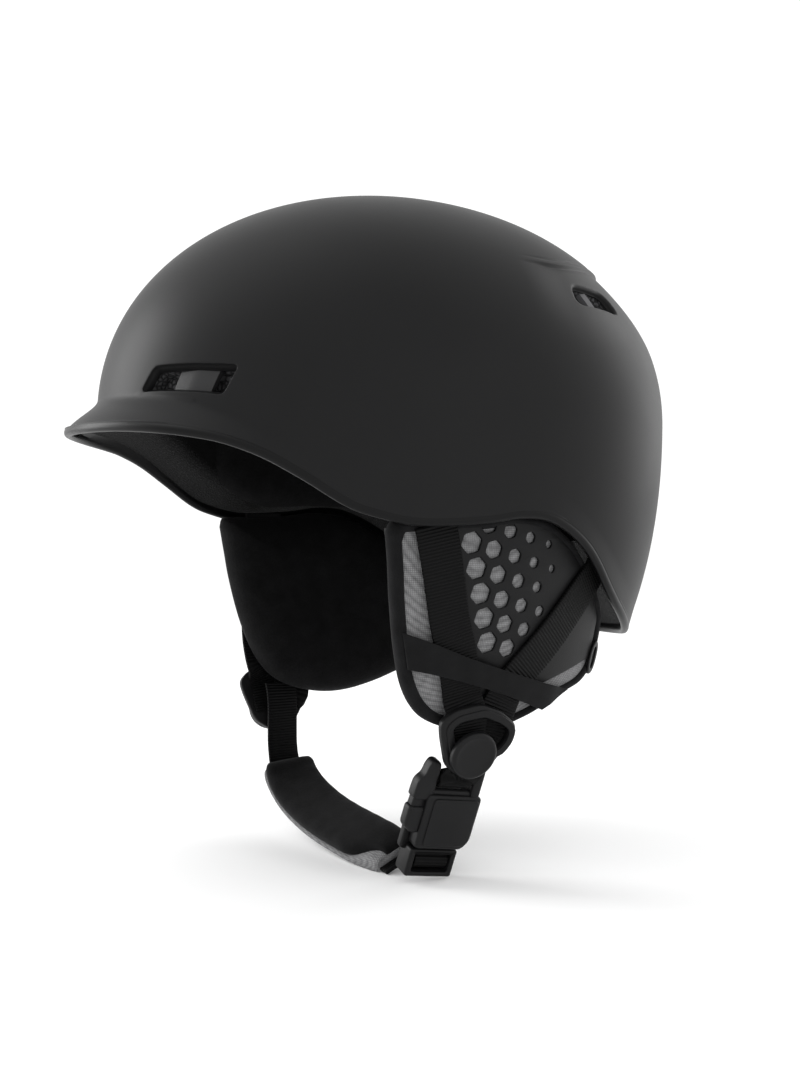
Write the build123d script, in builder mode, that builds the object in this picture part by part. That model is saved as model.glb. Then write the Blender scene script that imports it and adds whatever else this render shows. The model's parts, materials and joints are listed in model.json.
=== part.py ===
from build123d import *
import math
import os

# Snow helmet: in-mould shell, foam liner, vents, ear pads, straps and a magnetic chin buckle.
# Frame: origin at the middle of the head opening, level with the ear cut-out; +Z up to the
# crown, -Y to the brow, +X to the wearer's left ear. Millimetres.

# ---- driving sizes -------------------------------------------------------------------------
HALF_WIDTH = 105.0
FRONT_REACH = 127.0
REAR_REACH = 136.0
CROWN_RISE = 100.0
NAPE_DROP = 150.0
ROUNDNESS = 2.1
CENTRE_Y = -1.0
CENTRE_Z = 45.0
SHELL_WALL = 3.0
LINER_WALL = 22.0
COMFORT_PAD = 6.0
LINER_SETBACK = 3.5
BRIM_FLARE = 11.0
BRIM_FLARE_START = 22.0
BRIM_FLARE_FADE = 40.0
BRIM_FLARE_RISE = 20.0
# Side view of the shell's lower edge, from the brim to the nape, as (y, z).
EDGE = [(-145, 39), (-125, 38), (-109, 34.6), (-99, 31.5), (-88.5, 26.5), (-75.7, 18.2),
        (-62, 8.9), (-51, 4.4), (-33, 0.7), (-7, 1.4), (11.4, 3.4), (27, 1.2),
        (45.6, -9.4), (65.5, -28.5), (79.8, -38), (97, -46.3), (110, -50), (145, -56)]

EAR_WIDTH = 95.0
EAR_MIDDLE_Y = 2.0
EAR_FRONT_SPAN = 131.0
EAR_REAR_SPAN = 110.0
EAR_SLOPE = 0.12
EAR_BOW = 0.0018
PAD_DEPTH = 17.0
LINING_SKIN = 2.0
PANEL_WALL = 1.5
WEBBING_WALL = 1.6
WEBBING_WIDTH = 16.0

DIVIDER_X = 77.0
DIVIDER_Z = -86.0
DIVIDER_TILT = 18.0
LEFT_DIVIDER_Y = 4.0
RIGHT_DIVIDER_Y = -22.0
DIVIDER_WALL = 4.0
LOCK_RADIUS = 10.3
LOCK_WALL = 3.2

BUCKLE_AT = (66.0, -1.0, -115.5)
BUCKLE_TILT = 16.0
BUCKLE_TURN = 9.0
BLOCK_WIDTH = 26.0
BLOCK_DEPTH = 6.5
RUN_GAP = 0.5
MAGNET_RADIUS = 5.0
MAGNET_DEPTH = 2.4

CHIN_START = (-68.0, -22.0)
CHIN_END = (54.0, -8.0)
CHIN_PAD_WIDTH = 24.0
CHIN_PAD_DEPTH = 8.0
SEWN_GAP = 0.3
SLEEVE_WALL = 1.4
# Centre line of the chin webbing, as (distance towards the buckle, height).
CHIN_ROUTE = [(0, -88), (-0.2, -99), (0.2, -110), (3, -119), (11, -126.3), (23, -132.5),
              (40, -137.5), (57, -140.2), (76, -142), (92, -143.5), (106, -145)]

os.makedirs("parts", exist_ok=True)


def save(builder, name):
    """Label a finished piece and write it out."""
    builder.part.label = name
    export_step(builder.part, f"parts/{name}.step")


def ease(t):
    """Smooth step from 0 to 1."""
    t = min(max(t, 0.0), 1.0)
    return t * t * (3 - 2 * t)


def edge_height(y):
    """Smooth height of the shell's lower edge at y, for the brim's flare."""
    return 38.5 - 38.5 * ease((y + 128) / 92) - 52 * ease((y - 20) / 90)


PATCH_REACH = math.radians(122)
PATCH_LEAN = math.radians(18)
PATCH_STEPS = 40


def dome_point(s, t, inset, flared):
    """Point of the dome at patch position s, t, each from -1 to 1."""
    polar = math.hypot(s, t) * PATCH_REACH
    turn = math.atan2(s, t)
    x = math.sin(polar) * math.sin(turn)
    y = math.sin(polar) * math.cos(turn)
    z = math.cos(polar)
    y, z = (y * math.cos(PATCH_LEAN) + z * math.sin(PATCH_LEAN),
            z * math.cos(PATCH_LEAN) - y * math.sin(PATCH_LEAN))
    reach = (REAR_REACH if y > 0 else FRONT_REACH) - inset
    rise = (CROWN_RISE if z > 0 else NAPE_DROP) - inset
    plan = math.hypot(x / (HALF_WIDTH - inset), y / reach)
    radius = (plan ** ROUNDNESS + abs(z / rise) ** ROUNDNESS) ** (-1 / ROUNDNESS)
    if flared:
        azimuth = abs(math.degrees(math.atan2(x, -y)))
        low_y = radius * y + CENTRE_Y
        above = radius * z + CENTRE_Z - edge_height(low_y)
        flare = 1 + BRIM_FLARE * (1 - ease((azimuth - BRIM_FLARE_START) / BRIM_FLARE_FADE))
        radius += flare * (1 - ease(above / BRIM_FLARE_RISE)) * math.hypot(x, y)
    return Vector(radius * x, radius * y + CENTRE_Y, radius * z + CENTRE_Z)


def dome_face(inset, flared=True):
    """The dome as one smooth face, inset from the shell's outside."""
    steps = [-1 + 2 * i / PATCH_STEPS for i in range(PATCH_STEPS + 1)]
    grid = [[dome_point(s, t, inset, flared) for t in steps] for s in steps]
    return Face.make_surface_from_array_of_points(grid, tol=0.12)


def edge_prism(raise_by, top=160.0, half_width=150.0):
    """Everything above the shell's lower edge, raised by a step."""
    with BuildPart() as prism:
        with BuildSketch(Plane.YZ):
            with BuildLine():
                low = Spline([(y, z + raise_by) for y, z in EDGE])
                Polyline(low @ 1, (145, top), (-145, top), low @ 0)
            make_face()
        extrude(amount=half_width, both=True)
    return prism.part


outer_face = dome_face(0)
bond_face = dome_face(SHELL_WALL)
cavity_face = dome_face(SHELL_WALL + LINER_WALL, flared=False)
comfort_face = dome_face(SHELL_WALL + LINER_WALL + COMFORT_PAD, flared=False)
cradle_face = dome_face(SHELL_WALL + LINER_WALL + 2, flared=False)

# ---- vents ---------------------------------------------------------------------------------
# Each vent is a slanted slot in its own plane on the dome, mirrored to the other side.
front_vent_plane = Plane(origin=(53.5, -109, 57), x_dir=(0.815, 0.58, 0), z_dir=(0.545, -0.766, 0.34))
rear_vent_plane = Plane(origin=(76.5, 62.5, 96.4), x_dir=(-0.42, 0.905, 0), z_dir=(0.70, 0.36, 0.62))
FRONT_VENT = [(-20.5, -3.5), (19.5, -7), (20.5, 4.5), (-15, 7)]
REAR_VENT = [(-17, -4), (16.5, -5.5), (13, 5), (-13, 6)]
VENT_CORNER = 1.6
VENT_DEPTH = 40.0
VENT_RECESS = 5.0
BAR_WALL = 2.5
BAR_SHARE = 0.5


def vent_cutter(plane, corners):
    """A straight slot through shell and liner."""
    with BuildPart() as cutter:
        with BuildSketch(plane):
            with BuildLine():
                Polyline(*corners, close=True)
            make_face()
            fillet(vertices(), VENT_CORNER)
        extrude(amount=VENT_DEPTH, both=True)
    return cutter.part


def vent_bar(plane, corners):
    """The thin bar that crosses a vent from end to end, set back from the shell."""
    with BuildPart() as bar:
        with BuildSketch(plane.offset(-VENT_RECESS - BAR_WALL)):
            with BuildLine():
                Polyline(*[(x, y * BAR_SHARE) for x, y in corners], close=True)
            make_face()
        extrude(amount=BAR_WALL)
    return bar.part


vent_cutters = []
for plane, corners in ((front_vent_plane, FRONT_VENT), (rear_vent_plane, REAR_VENT)):
    cutter = vent_cutter(plane, corners)
    vent_cutters += [cutter, mirror(cutter, about=Plane.YZ)]

# ---- strap anchors in pockets of the liner's rim, two on each side --------------------------
ANCHOR_SIZE = Vector(3.0, 18.0, 3.2)
ANCHOR_PLACES = [(90.0, -23.5, 3.2), (80.5, 50.0, -4.4)]


def anchor_blocks(room=0.0):
    """All four anchors, or the pockets that hold them."""
    with BuildPart() as blocks:
        for x, y, z in ANCHOR_PLACES:
            with Locations((x, y, z), (-x, y, z)):
                Box(ANCHOR_SIZE.X + room, ANCHOR_SIZE.Y + room, ANCHOR_SIZE.Z + room)
    return blocks.part


with BuildPart() as strap_anchors:
    add(anchor_blocks())
save(strap_anchors, "strap_anchors")

# ---- shell and foam liner ----------------------------------------------------------------------
with BuildPart() as outer_shell:
    add(edge_prism(0))
    split(bisect_by=outer_face, keep=Keep.BOTTOM)
    split(bisect_by=bond_face, keep=Keep.TOP)
    add(vent_cutters, mode=Mode.SUBTRACT)
save(outer_shell, "outer_shell")

with BuildPart() as foam_liner:
    add(edge_prism(LINER_SETBACK))
    split(bisect_by=bond_face, keep=Keep.BOTTOM)
    split(bisect_by=cavity_face, keep=Keep.TOP)
    add(vent_cutters, mode=Mode.SUBTRACT)
    add(anchor_blocks(room=0.4), mode=Mode.SUBTRACT)
save(foam_liner, "foam_liner")

for place, plane, corners in (("front", front_vent_plane, FRONT_VENT), ("rear", rear_vent_plane, REAR_VENT)):
    with BuildPart() as left_bar:
        add(vent_bar(plane, corners))
    save(left_bar, f"left_{place}_vent_bar")
    with BuildPart() as right_bar:
        add(mirror(vent_bar(plane, corners), about=Plane.YZ))
    save(right_bar, f"right_{place}_vent_bar")

# ---- comfort pads and nape cradle, all against the foam liner -------------------------------


def comfort_pad(zones, name, back_face=cavity_face, front_face=comfort_face):
    """A soft pad that lines the foam cavity inside one or more boxes, each (low, high)."""
    with BuildPart() as pad:
        for low, high in zones:
            size = [b - a for a, b in zip(low, high)]
            middle = Vector(*[(a + b) / 2 for a, b in zip(low, high)])
            with Locations(middle):
                Box(*size)
        split(bisect_by=back_face, keep=Keep.BOTTOM)
        split(bisect_by=front_face, keep=Keep.TOP)
    save(pad, name)


comfort_pad([((-62, -110, 44), (62, -50, 66))], "brow_pad")
comfort_pad([((-14, -70, 70), (14, 75, 130)), ((-90, -16, 92), (90, 16, 130))], "crown_pad")
comfort_pad([((50, -42, 14), (90, 44, 58))], "left_temple_pad")
comfort_pad([((-90, -42, 14), (-50, 44, 58))], "right_temple_pad")
comfort_pad([((-48, 60, -26), (48, 120, -2))], "nape_cradle", cavity_face, cradle_face)
comfort_pad([((-44, 60, -22), (44, 120, -6))], "nape_pad", cradle_face, comfort_face)

# ---- ear pads ------------------------------------------------------------------------------


def cheek_x(y, z):
    """Outer face of the left ear pad: how far it stands from the middle plane."""
    span = EAR_FRONT_SPAN if y < EAR_MIDDLE_Y else EAR_REAR_SPAN
    share = (y - EAR_MIDDLE_Y) / span
    return EAR_WIDTH * math.sqrt(1 - share * share) + EAR_SLOPE * z - EAR_BOW * z * z


def cheek_face(offset):
    """The ear pad's outer face, moved outwards by an offset."""
    grid = [[Vector(cheek_x(y, z) + offset, y, z) for z in range(-110, 31, 14)] for y in range(-64, 101, 11)]
    return Face.make_surface_from_array_of_points(grid, tol=0.05)


PAD_OUTLINE = [(-41.5, -1.5), (-39.8, -14), (-38, -28), (-34, -48), (-28.5, -64), (-20.4, -75),
               (-9, -81), (5, -84), (19, -83.5), (34.5, -79.5), (52, -72.5), (68, -68), (76, -60),
               (78, -48), (76.5, -38.5)]
CORE_OUTLINE = [(-35.5, -3), (-35.2, -14), (-33.4, -29), (-30.5, -46), (-26.5, -60), (-20, -72.5),
                (-8, -79), (5, -81.8), (19, -81.2), (34, -77.2), (51, -70.2), (65.5, -66), (72.5, -58.5),
                (75, -48), (74, -39.5)]
PAD_TOP = [(65.5, -30.5), (55.3, -20.3), (45.6, -11.6), (36.5, -5.6), (27, -1.2), (11.4, 0.6),
           (-7, -0.9), (-33, -1.3)]
TOP_BORDER = 1.4
PANEL_OUTLINE = [(-14.5, -3.4), (-6, -36), (1, -55), (6, -71), (38.6, -65.6), (70, -57.5), (71.5, -40.5),
                 (64, -32.5), (54.5, -23), (44.5, -14.5), (36, -8.4), (26, -3.6), (11, -1.4), (-7, -3.2)]
BAND_OUTLINE = [(-33.4, -41), (-20, -46), (-1, -53), (30, -63), (56, -70), (38.5, -76.6), (18, -69.6),
                (2.5, -64.2), (-15.5, -59), (-30, -55.6)]
HEX_START = (-7.6, -5.8)
HEX_ACROSS = (10.2, -2.8)
HEX_DOWN = (3.0, -10.1)
HEX_ROWS = [(0, 5), (-1, 5), (-1, 4), (-1, 3), (-1, 1)]
HEX_RADIUS = 4.4
HEX_SHRINK = 0.7
PORT_AT = (73.5, -54.0)


def cheek_layer(outline, low, high):
    """A layer that follows the cheek face inside an outline in the side view."""
    with BuildPart() as layer:
        with BuildSketch(Plane.YZ):
            add(outline)
        extrude(amount=130, both=True)
        split(bisect_by=cheek_face(high), keep=Keep.BOTTOM)
        split(bisect_by=cheek_face(low), keep=Keep.TOP)
    return layer.part


def closed_sketch(points, corner=0.0):
    """A straight-sided outline, with its corners rounded."""
    with BuildSketch() as outline:
        with BuildLine():
            Polyline(*points, close=True)
        make_face()
        if corner:
            fillet(outline.vertices(), corner)
    return outline.sketch


def pad_sketch(outline, drop=0.0):
    """The side view (y, z) of the ear pad, or of the core inside its lining."""
    with BuildSketch() as pad:
        with BuildLine():
            curve = Spline(*outline)
            Polyline(curve @ 1, *[(y, z - drop) for y, z in PAD_TOP], curve @ 0)
        make_face()
    return pad.sketch


def strap_sketch(start, end, width=WEBBING_WIDTH):
    """A straight strap between two points of the side view."""
    along = Vector(end[0] - start[0], end[1] - start[1]).normalized()
    side = Vector(-along.Y, along.X) * (width / 2)
    corners = [Vector(*start) + side, Vector(*end) + side, Vector(*end) - side, Vector(*start) - side]
    return closed_sketch([(c.X, c.Y) for c in corners])


def panel_sketch():
    """The moulded ear panel with its rows of hexagonal holes."""
    with BuildSketch() as panel:
        add(closed_sketch(PANEL_OUTLINE, 1.5))
        for column, (first, last) in enumerate(HEX_ROWS):
            for row in range(first, last):
                y = HEX_START[0] + column * HEX_ACROSS[0] + row * HEX_DOWN[0]
                z = HEX_START[1] + column * HEX_ACROSS[1] + row * HEX_DOWN[1]
                if z < -7:
                    with Locations((y, z)):
                        RegularPolygon(HEX_RADIUS - HEX_SHRINK * column, 6, rotation=15, mode=Mode.SUBTRACT)
    return panel.sketch


def port_sketch():
    """The oval cable port at the pad's rear edge."""
    with BuildSketch() as port:
        with Locations(PORT_AT):
            SlotOverall(14, 6, rotation=84)
            SlotOverall(9, 2, rotation=84, mode=Mode.SUBTRACT)
    return port.sketch


full_outline = pad_sketch(PAD_OUTLINE)
core_outline = pad_sketch(CORE_OUTLINE, drop=TOP_BORDER)
cheek_parts = {
    "ear_pad_foam": cheek_layer(core_outline, -PAD_DEPTH + LINING_SKIN, -PANEL_WALL - 1.2),
    "ear_pad_mesh": cheek_layer(core_outline, -PANEL_WALL - 1.2, -PANEL_WALL),
    "ear_panel": cheek_layer(panel_sketch(), -PANEL_WALL, 0),
    "ear_pad_band": cheek_layer(closed_sketch(BAND_OUTLINE, 1.0), 2.3, 3.3),
    "cable_port": cheek_layer(port_sketch(), 0, 1.3),
}
with BuildPart() as lining:
    add(cheek_layer(full_outline, -PAD_DEPTH, 0))
    add(cheek_layer(core_outline, -PAD_DEPTH + LINING_SKIN, 5), mode=Mode.SUBTRACT)
cheek_parts["ear_pad_lining"] = lining.part

STRAP_TOPS = {"front": (-23.8, -1.9), "rear": (56.5, -24.5)}
STRAP_ENDS = {"front": (-6.9, -72.0), "rear": (11.5, -71.0)}

# ---- strap dividers: a rounded triangle with a window, and a round lock ---------------------


def divider_plane(y):
    """Plane of a left divider; its local x runs rearwards and its local y upwards."""
    tilt = math.radians(DIVIDER_TILT)
    return Plane(origin=(DIVIDER_X, y, DIVIDER_Z), x_dir=(0, 1, 0), z_dir=(math.cos(tilt), 0, -math.sin(tilt)))


LOCK_AT = (-1.2, -4.0)
LOCK_HINGE_Y = -14.6


def divider_ring(plane):
    """The divider's frame."""
    with BuildPart() as ring:
        with BuildSketch(plane.offset(-DIVIDER_WALL / 2 + 0.5)):
            with BuildLine():
                ThreePointArc((-18, 8), (-1, 16.3), (17.5, 5))
                Line((17.5, 5), (8, -13))
                ThreePointArc((8, -13), (-2, -17.5), (-12, -12))
                Line((-12, -12), (-18, 8))
            make_face()
            fillet(vertices(), 2.5)
            with BuildLine():
                ThreePointArc((-12.5, 5.5), (0, 10.6), (14, 3))
                Polyline((14, 3), (10, -5), (-9.5, -5), (-12.5, 5.5))
            make_face(mode=Mode.SUBTRACT)
        extrude(amount=DIVIDER_WALL)
        fillet(ring.faces().sort_by(Axis(plane.origin, plane.z_dir))[-1].outer_wire().edges(), 1.2)
    return ring.part


def divider_lock(plane):
    """The round lock with its raised face, standing on the divider's lower bar."""
    with BuildPart() as lock:
        with BuildSketch(plane.offset(DIVIDER_WALL / 2 + 0.5 + RUN_GAP)):
            with Locations(LOCK_AT):
                Circle(LOCK_RADIUS)
        extrude(amount=LOCK_WALL)
        fillet(lock.faces().sort_by(Axis(plane.origin, plane.z_dir))[-1].edges(), 0.8)
    return lock.part


def strap_junction(plane):
    """The sewn end of both straps, folded behind the divider's window."""
    with BuildPart() as junction:
        with BuildSketch(plane.offset(-DIVIDER_WALL / 2 + 0.2 - WEBBING_WALL)):
            with BuildLine():
                Polyline((-11.8, 9), (-3, 12), (5, 12), (14.5, 7), (10, -6), (-9, -6), close=True)
            make_face()
        extrude(amount=WEBBING_WALL)
    return junction.part


for side, divider_y in (("left", LEFT_DIVIDER_Y), ("right", RIGHT_DIVIDER_Y)):
    shift = divider_y - LEFT_DIVIDER_Y
    plane = divider_plane(divider_y)
    parts = dict(cheek_parts)
    for strap in STRAP_TOPS:
        end = (STRAP_ENDS[strap][0] + shift, STRAP_ENDS[strap][1])
        parts[f"{strap}_strap"] = cheek_layer(strap_sketch(STRAP_TOPS[strap], end), 0.3, 0.3 + WEBBING_WALL)
    parts["strap_divider"] = divider_ring(plane)
    parts["divider_lock"] = divider_lock(plane)
    parts["strap_junction"] = strap_junction(plane)
    for name, shape in parts.items():
        with BuildPart() as piece:
            if side == "left":
                add(shape)
            else:
                add(mirror(shape, about=Plane.YZ))
        save(piece, f"{side}_{name}")

# ---- magnetic buckle: socket on the left strap, slider on the chin strap ---------------------
tilt = math.radians(BUCKLE_TILT)
turn = math.radians(BUCKLE_TURN)
buckle_plane = Plane(origin=BUCKLE_AT, z_dir=(math.cos(tilt), 0, -math.sin(tilt)),
                     x_dir=(-math.sin(turn) * math.sin(tilt), math.cos(turn), -math.sin(turn) * math.cos(tilt)))
BLOCK_MIDDLE = (1.0, -7.75)
BLOCK_LENGTH = 24.5
MAGNET_AT = (1.0, -8.0)
EAR_TOP = 18.5
YOKE_ROD_AT = 10.5
YOKE_ROD_RADIUS = 1.4
LADDER_TOP = -20.6
LADDER_BOTTOM = -33.4


def buckle_prism(low, high, centre, width, length, corner=1.0, mode=Mode.ADD):
    """A rounded block in the buckle's frame, from depth low to depth high."""
    with BuildSketch(buckle_plane.offset(low)) as profile:
        with Locations(centre):
            RectangleRounded(width, length, corner)
    extrude(profile.sketch, amount=high - low, mode=mode)


with BuildPart() as buckle_socket:
    buckle_prism(-BLOCK_DEPTH, 0, BLOCK_MIDDLE, BLOCK_WIDTH, BLOCK_LENGTH, 2.2)
    buckle_prism(-0.1, 0.7, (1.75, -7.5), 21.5, 21, 1.8)
    for x in (-12.3, 10.0):
        buckle_prism(-BLOCK_DEPTH, -0.5, (x, (EAR_TOP + 2) / 2), 3.2, EAR_TOP - 2, 1.5)
    buckle_prism(-BLOCK_DEPTH, -1.5, (-1, 4.8), 21, 3.6, 0.5)
    buckle_prism(-BLOCK_DEPTH, -3.2, (-15.0, 5.5), 7, 7, 2.0)
    buckle_prism(-BLOCK_DEPTH, -3.2, (-14.9, -5.6), 7, 14, 1.6)
    rod_plane = Plane(origin=buckle_plane.from_local_coords((-11.5, YOKE_ROD_AT, -2.9)),
                      z_dir=buckle_plane.x_dir, x_dir=buckle_plane.z_dir)
    with BuildSketch(rod_plane):
        Circle(YOKE_ROD_RADIUS)
    extrude(amount=21)
    with BuildSketch(buckle_plane.offset(-BLOCK_DEPTH)):
        with Locations(MAGNET_AT):
            Circle(MAGNET_RADIUS + 0.05)
    extrude(amount=MAGNET_DEPTH, mode=Mode.SUBTRACT)
save(buckle_socket, "buckle_socket")

with BuildPart() as socket_magnet:
    with BuildSketch(buckle_plane.offset(-BLOCK_DEPTH)):
        with Locations(MAGNET_AT):
            Circle(MAGNET_RADIUS)
    extrude(amount=MAGNET_DEPTH)
save(socket_magnet, "socket_magnet")

with BuildPart() as buckle_strap:
    with BuildSketch(rod_plane.offset(2.6)):
        with BuildLine():
            Polyline((-1.6, 0), (-1.6, -9.5), (-3.0, -9.5), (-3.0, 0))
            ThreePointArc((-3.0, 0), (0, 3.0), (3.0, 0))
            Polyline((3.0, 0), (3.0, -9.5), (1.6, -9.5), (1.6, 0))
            ThreePointArc((1.6, 0), (0, 1.6), (-1.6, 0))
        make_face()
    extrude(amount=WEBBING_WIDTH)
save(buckle_strap, "left_buckle_strap")

SLIDER_BACK = -BLOCK_DEPTH - RUN_GAP - 3.4
with BuildPart() as buckle_slider:
    buckle_prism(SLIDER_BACK, -BLOCK_DEPTH - RUN_GAP, (-0.75, -10.5), 27.5, 26, 2.0)
    buckle_prism(SLIDER_BACK, -1.2, (-1.0, (LADDER_TOP + LADDER_BOTTOM) / 2), 23, LADDER_TOP - LADDER_BOTTOM, 1.2)
    buckle_prism(SLIDER_BACK - 1, 1, (-0.6, -26.5), 17.6, 9.4, 0.8, Mode.SUBTRACT)
    buckle_prism(-6.6, -3.6, (-0.6, -26.5), 18, 1.8, 0.4)
    with BuildSketch(buckle_plane.offset(SLIDER_BACK)):
        with Locations(MAGNET_AT):
            Circle(MAGNET_RADIUS + 0.05)
    extrude(amount=MAGNET_DEPTH, mode=Mode.SUBTRACT)
save(buckle_slider, "buckle_slider")

with BuildPart() as slider_magnet:
    with BuildSketch(buckle_plane.offset(SLIDER_BACK)):
        with Locations(MAGNET_AT):
            Circle(MAGNET_RADIUS)
    extrude(amount=MAGNET_DEPTH)
save(slider_magnet, "slider_magnet")

# ---- chin strap ------------------------------------------------------------------------------
chin_run = Vector(CHIN_END[0] - CHIN_START[0], CHIN_END[1] - CHIN_START[1], 0).normalized()
chin_plane = Plane(origin=(*CHIN_START, 0), x_dir=chin_run, z_dir=(chin_run.Y, -chin_run.X, 0))


def shifted(points, distance):
    """Points of a route moved sideways, towards the wearer for a positive distance."""
    moved = []
    for i, (x, z) in enumerate(points):
        before = points[max(i - 1, 0)]
        after = points[min(i + 1, len(points) - 1)]
        along = Vector(after[0] - before[0], after[1] - before[1]).normalized()
        moved.append((x - along.Y * distance, z + along.X * distance))
    return moved


def chin_band(points, low, high, width, name):
    """A band of even width that follows the chin route between two depths."""
    with BuildPart() as band:
        with BuildSketch(chin_plane):
            with BuildLine():
                inner = Spline(*shifted(points, high))
                outer = Spline(*shifted(points, low))
                Line(inner @ 0, outer @ 0)
                Line(inner @ 1, outer @ 1)
            make_face()
        extrude(amount=width / 2, both=True)
    save(band, name)


chin_band(CHIN_ROUTE, -WEBBING_WALL / 2, WEBBING_WALL / 2, WEBBING_WIDTH, "chin_webbing")
pad_route = CHIN_ROUTE[3:]
sleeve_top = -WEBBING_WALL / 2 - SEWN_GAP
chin_band(pad_route, WEBBING_WALL / 2 + SEWN_GAP, CHIN_PAD_DEPTH, CHIN_PAD_WIDTH, "chin_pad")
chin_band(pad_route, sleeve_top - SLEEVE_WALL, sleeve_top, CHIN_PAD_WIDTH, "chin_pad_sleeve")
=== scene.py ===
import bpy
import bmesh
import json
import math
import numpy as np
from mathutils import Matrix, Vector
from mathutils.geometry import tessellate_polygon

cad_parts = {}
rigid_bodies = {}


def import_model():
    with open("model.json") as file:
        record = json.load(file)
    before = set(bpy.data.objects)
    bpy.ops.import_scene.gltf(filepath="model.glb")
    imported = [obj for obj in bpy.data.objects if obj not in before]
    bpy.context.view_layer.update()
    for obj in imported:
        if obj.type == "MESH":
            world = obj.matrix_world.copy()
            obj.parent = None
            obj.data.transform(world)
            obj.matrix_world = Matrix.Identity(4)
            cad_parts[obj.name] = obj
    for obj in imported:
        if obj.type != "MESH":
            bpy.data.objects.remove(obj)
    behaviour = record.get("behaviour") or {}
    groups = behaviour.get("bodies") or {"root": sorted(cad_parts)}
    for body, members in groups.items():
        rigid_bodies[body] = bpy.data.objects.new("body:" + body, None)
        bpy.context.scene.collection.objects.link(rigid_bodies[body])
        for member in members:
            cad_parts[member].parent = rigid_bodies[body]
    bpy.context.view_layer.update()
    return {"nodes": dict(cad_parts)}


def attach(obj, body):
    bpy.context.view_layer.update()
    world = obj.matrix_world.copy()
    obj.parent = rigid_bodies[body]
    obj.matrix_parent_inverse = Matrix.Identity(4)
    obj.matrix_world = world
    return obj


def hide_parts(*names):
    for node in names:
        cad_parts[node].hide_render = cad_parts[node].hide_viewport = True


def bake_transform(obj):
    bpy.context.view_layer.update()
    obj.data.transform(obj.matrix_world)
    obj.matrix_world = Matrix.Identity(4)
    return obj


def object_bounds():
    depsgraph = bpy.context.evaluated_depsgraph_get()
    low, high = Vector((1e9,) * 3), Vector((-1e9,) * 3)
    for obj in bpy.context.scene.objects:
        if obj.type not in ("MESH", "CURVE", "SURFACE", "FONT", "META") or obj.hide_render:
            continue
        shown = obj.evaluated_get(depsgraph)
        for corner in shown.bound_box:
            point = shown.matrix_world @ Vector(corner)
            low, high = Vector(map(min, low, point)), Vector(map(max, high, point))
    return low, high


for leftover in list(bpy.data.objects):
    bpy.data.objects.remove(leftover)
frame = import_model()

# A snow helmet. Lengths are in millimetres until a mesh is made; -Y is the brow, +X the wearer's left.
MM = 0.001

# ---- sizes shared with the CAD model ---------------------------------------------------------
HALF_WIDTH = 105.0
FRONT_REACH = 127.0
REAR_REACH = 136.0
CROWN_RISE = 100.0
NAPE_DROP = 180.0
ROUNDNESS = 2.1
CENTRE = np.array([0.0, -1.0, 45.0])
SHELL_WALL = 3.0
LINER_WALL = 22.0
BRIM_FLARE = 12.5
BRIM_FLARE_START = 22.0
BRIM_FLARE_FADE = 40.0
BRIM_FLARE_RISE = 15.0
EDGE = [(-145, 37.6), (-125, 37), (-109, 34.6), (-99, 31.5), (-88.5, 26.5), (-75.7, 18.2),
        (-62, 8.9), (-51, 4.4), (-33, 0.7), (-7, 1.4), (11.4, 3.4), (27, 1.2),
        (45.6, -9.4), (65.5, -28.5), (79.8, -39), (97, -48.3), (110, -52), (145, -58)]
WEBBING_WALL = 1.6
WEBBING_WIDTH = 16.0


# ---- small geometry helpers ------------------------------------------------------------------
def ease(t):
    """Smooth step from 0 to 1."""
    t = np.clip(t, 0.0, 1.0)
    return t * t * (3 - 2 * t)


def unit(v):
    """Rows of v at length 1."""
    v = np.asarray(v, float)
    return v / np.maximum(np.linalg.norm(v, axis=-1, keepdims=True), 1e-9)


def smooth_line(points, per_run=12):
    """A smooth open line through the points."""
    p = np.asarray(points, float)
    p = np.vstack([2 * p[0] - p[1], p, 2 * p[-1] - p[-2]])
    t = np.linspace(0, 1, per_run, endpoint=False)[:, None]
    runs = []
    for a, b, c, d in zip(p, p[1:], p[2:], p[3:]):
        runs.append(0.5 * (2 * b + (c - a) * t + (2 * a - 5 * b + 4 * c - d) * t ** 2
                           + (3 * b - a - 3 * c + d) * t ** 3))
    return np.vstack(runs + [p[-2:-1]])


def respaced(points, count, closed=False):
    """The same line with evenly spaced points."""
    p = np.asarray(points, float)
    if closed:
        p = np.vstack([p, p[:1]])
    along = np.concatenate([[0], np.cumsum(np.linalg.norm(np.diff(p, axis=0), axis=1))])
    at = np.linspace(0, along[-1], count, endpoint=not closed)
    return np.stack([np.interp(at, along, p[:, k]) for k in range(p.shape[1])], axis=1)


def rounded_corners(points, radius, steps=6):
    """A closed outline with each corner turned into an arc; radius is one value or one per corner."""
    p = np.asarray(points, float)
    radii = np.broadcast_to(radius, (len(p),))
    out = []
    for before, corner, after, r in zip(np.roll(p, 1, 0), p, np.roll(p, -1, 0), radii):
        to_before = before - corner
        to_after = after - corner
        reach = min(r, 0.45 * np.linalg.norm(to_before), 0.45 * np.linalg.norm(to_after))
        start = corner + unit(to_before) * reach
        end = corner + unit(to_after) * reach
        for t in np.linspace(0, 1, steps):
            out.append((1 - t) ** 2 * start + 2 * t * (1 - t) * corner + t * t * end)
    return np.array(out)


def turned_left(points):
    """The outline in anticlockwise order."""
    p = np.asarray(points, float)
    q = np.roll(p, -1, 0)
    area = np.sum(p[:, 0] * q[:, 1] - q[:, 0] * p[:, 1])
    return p if area > 0 else p[::-1]


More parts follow.
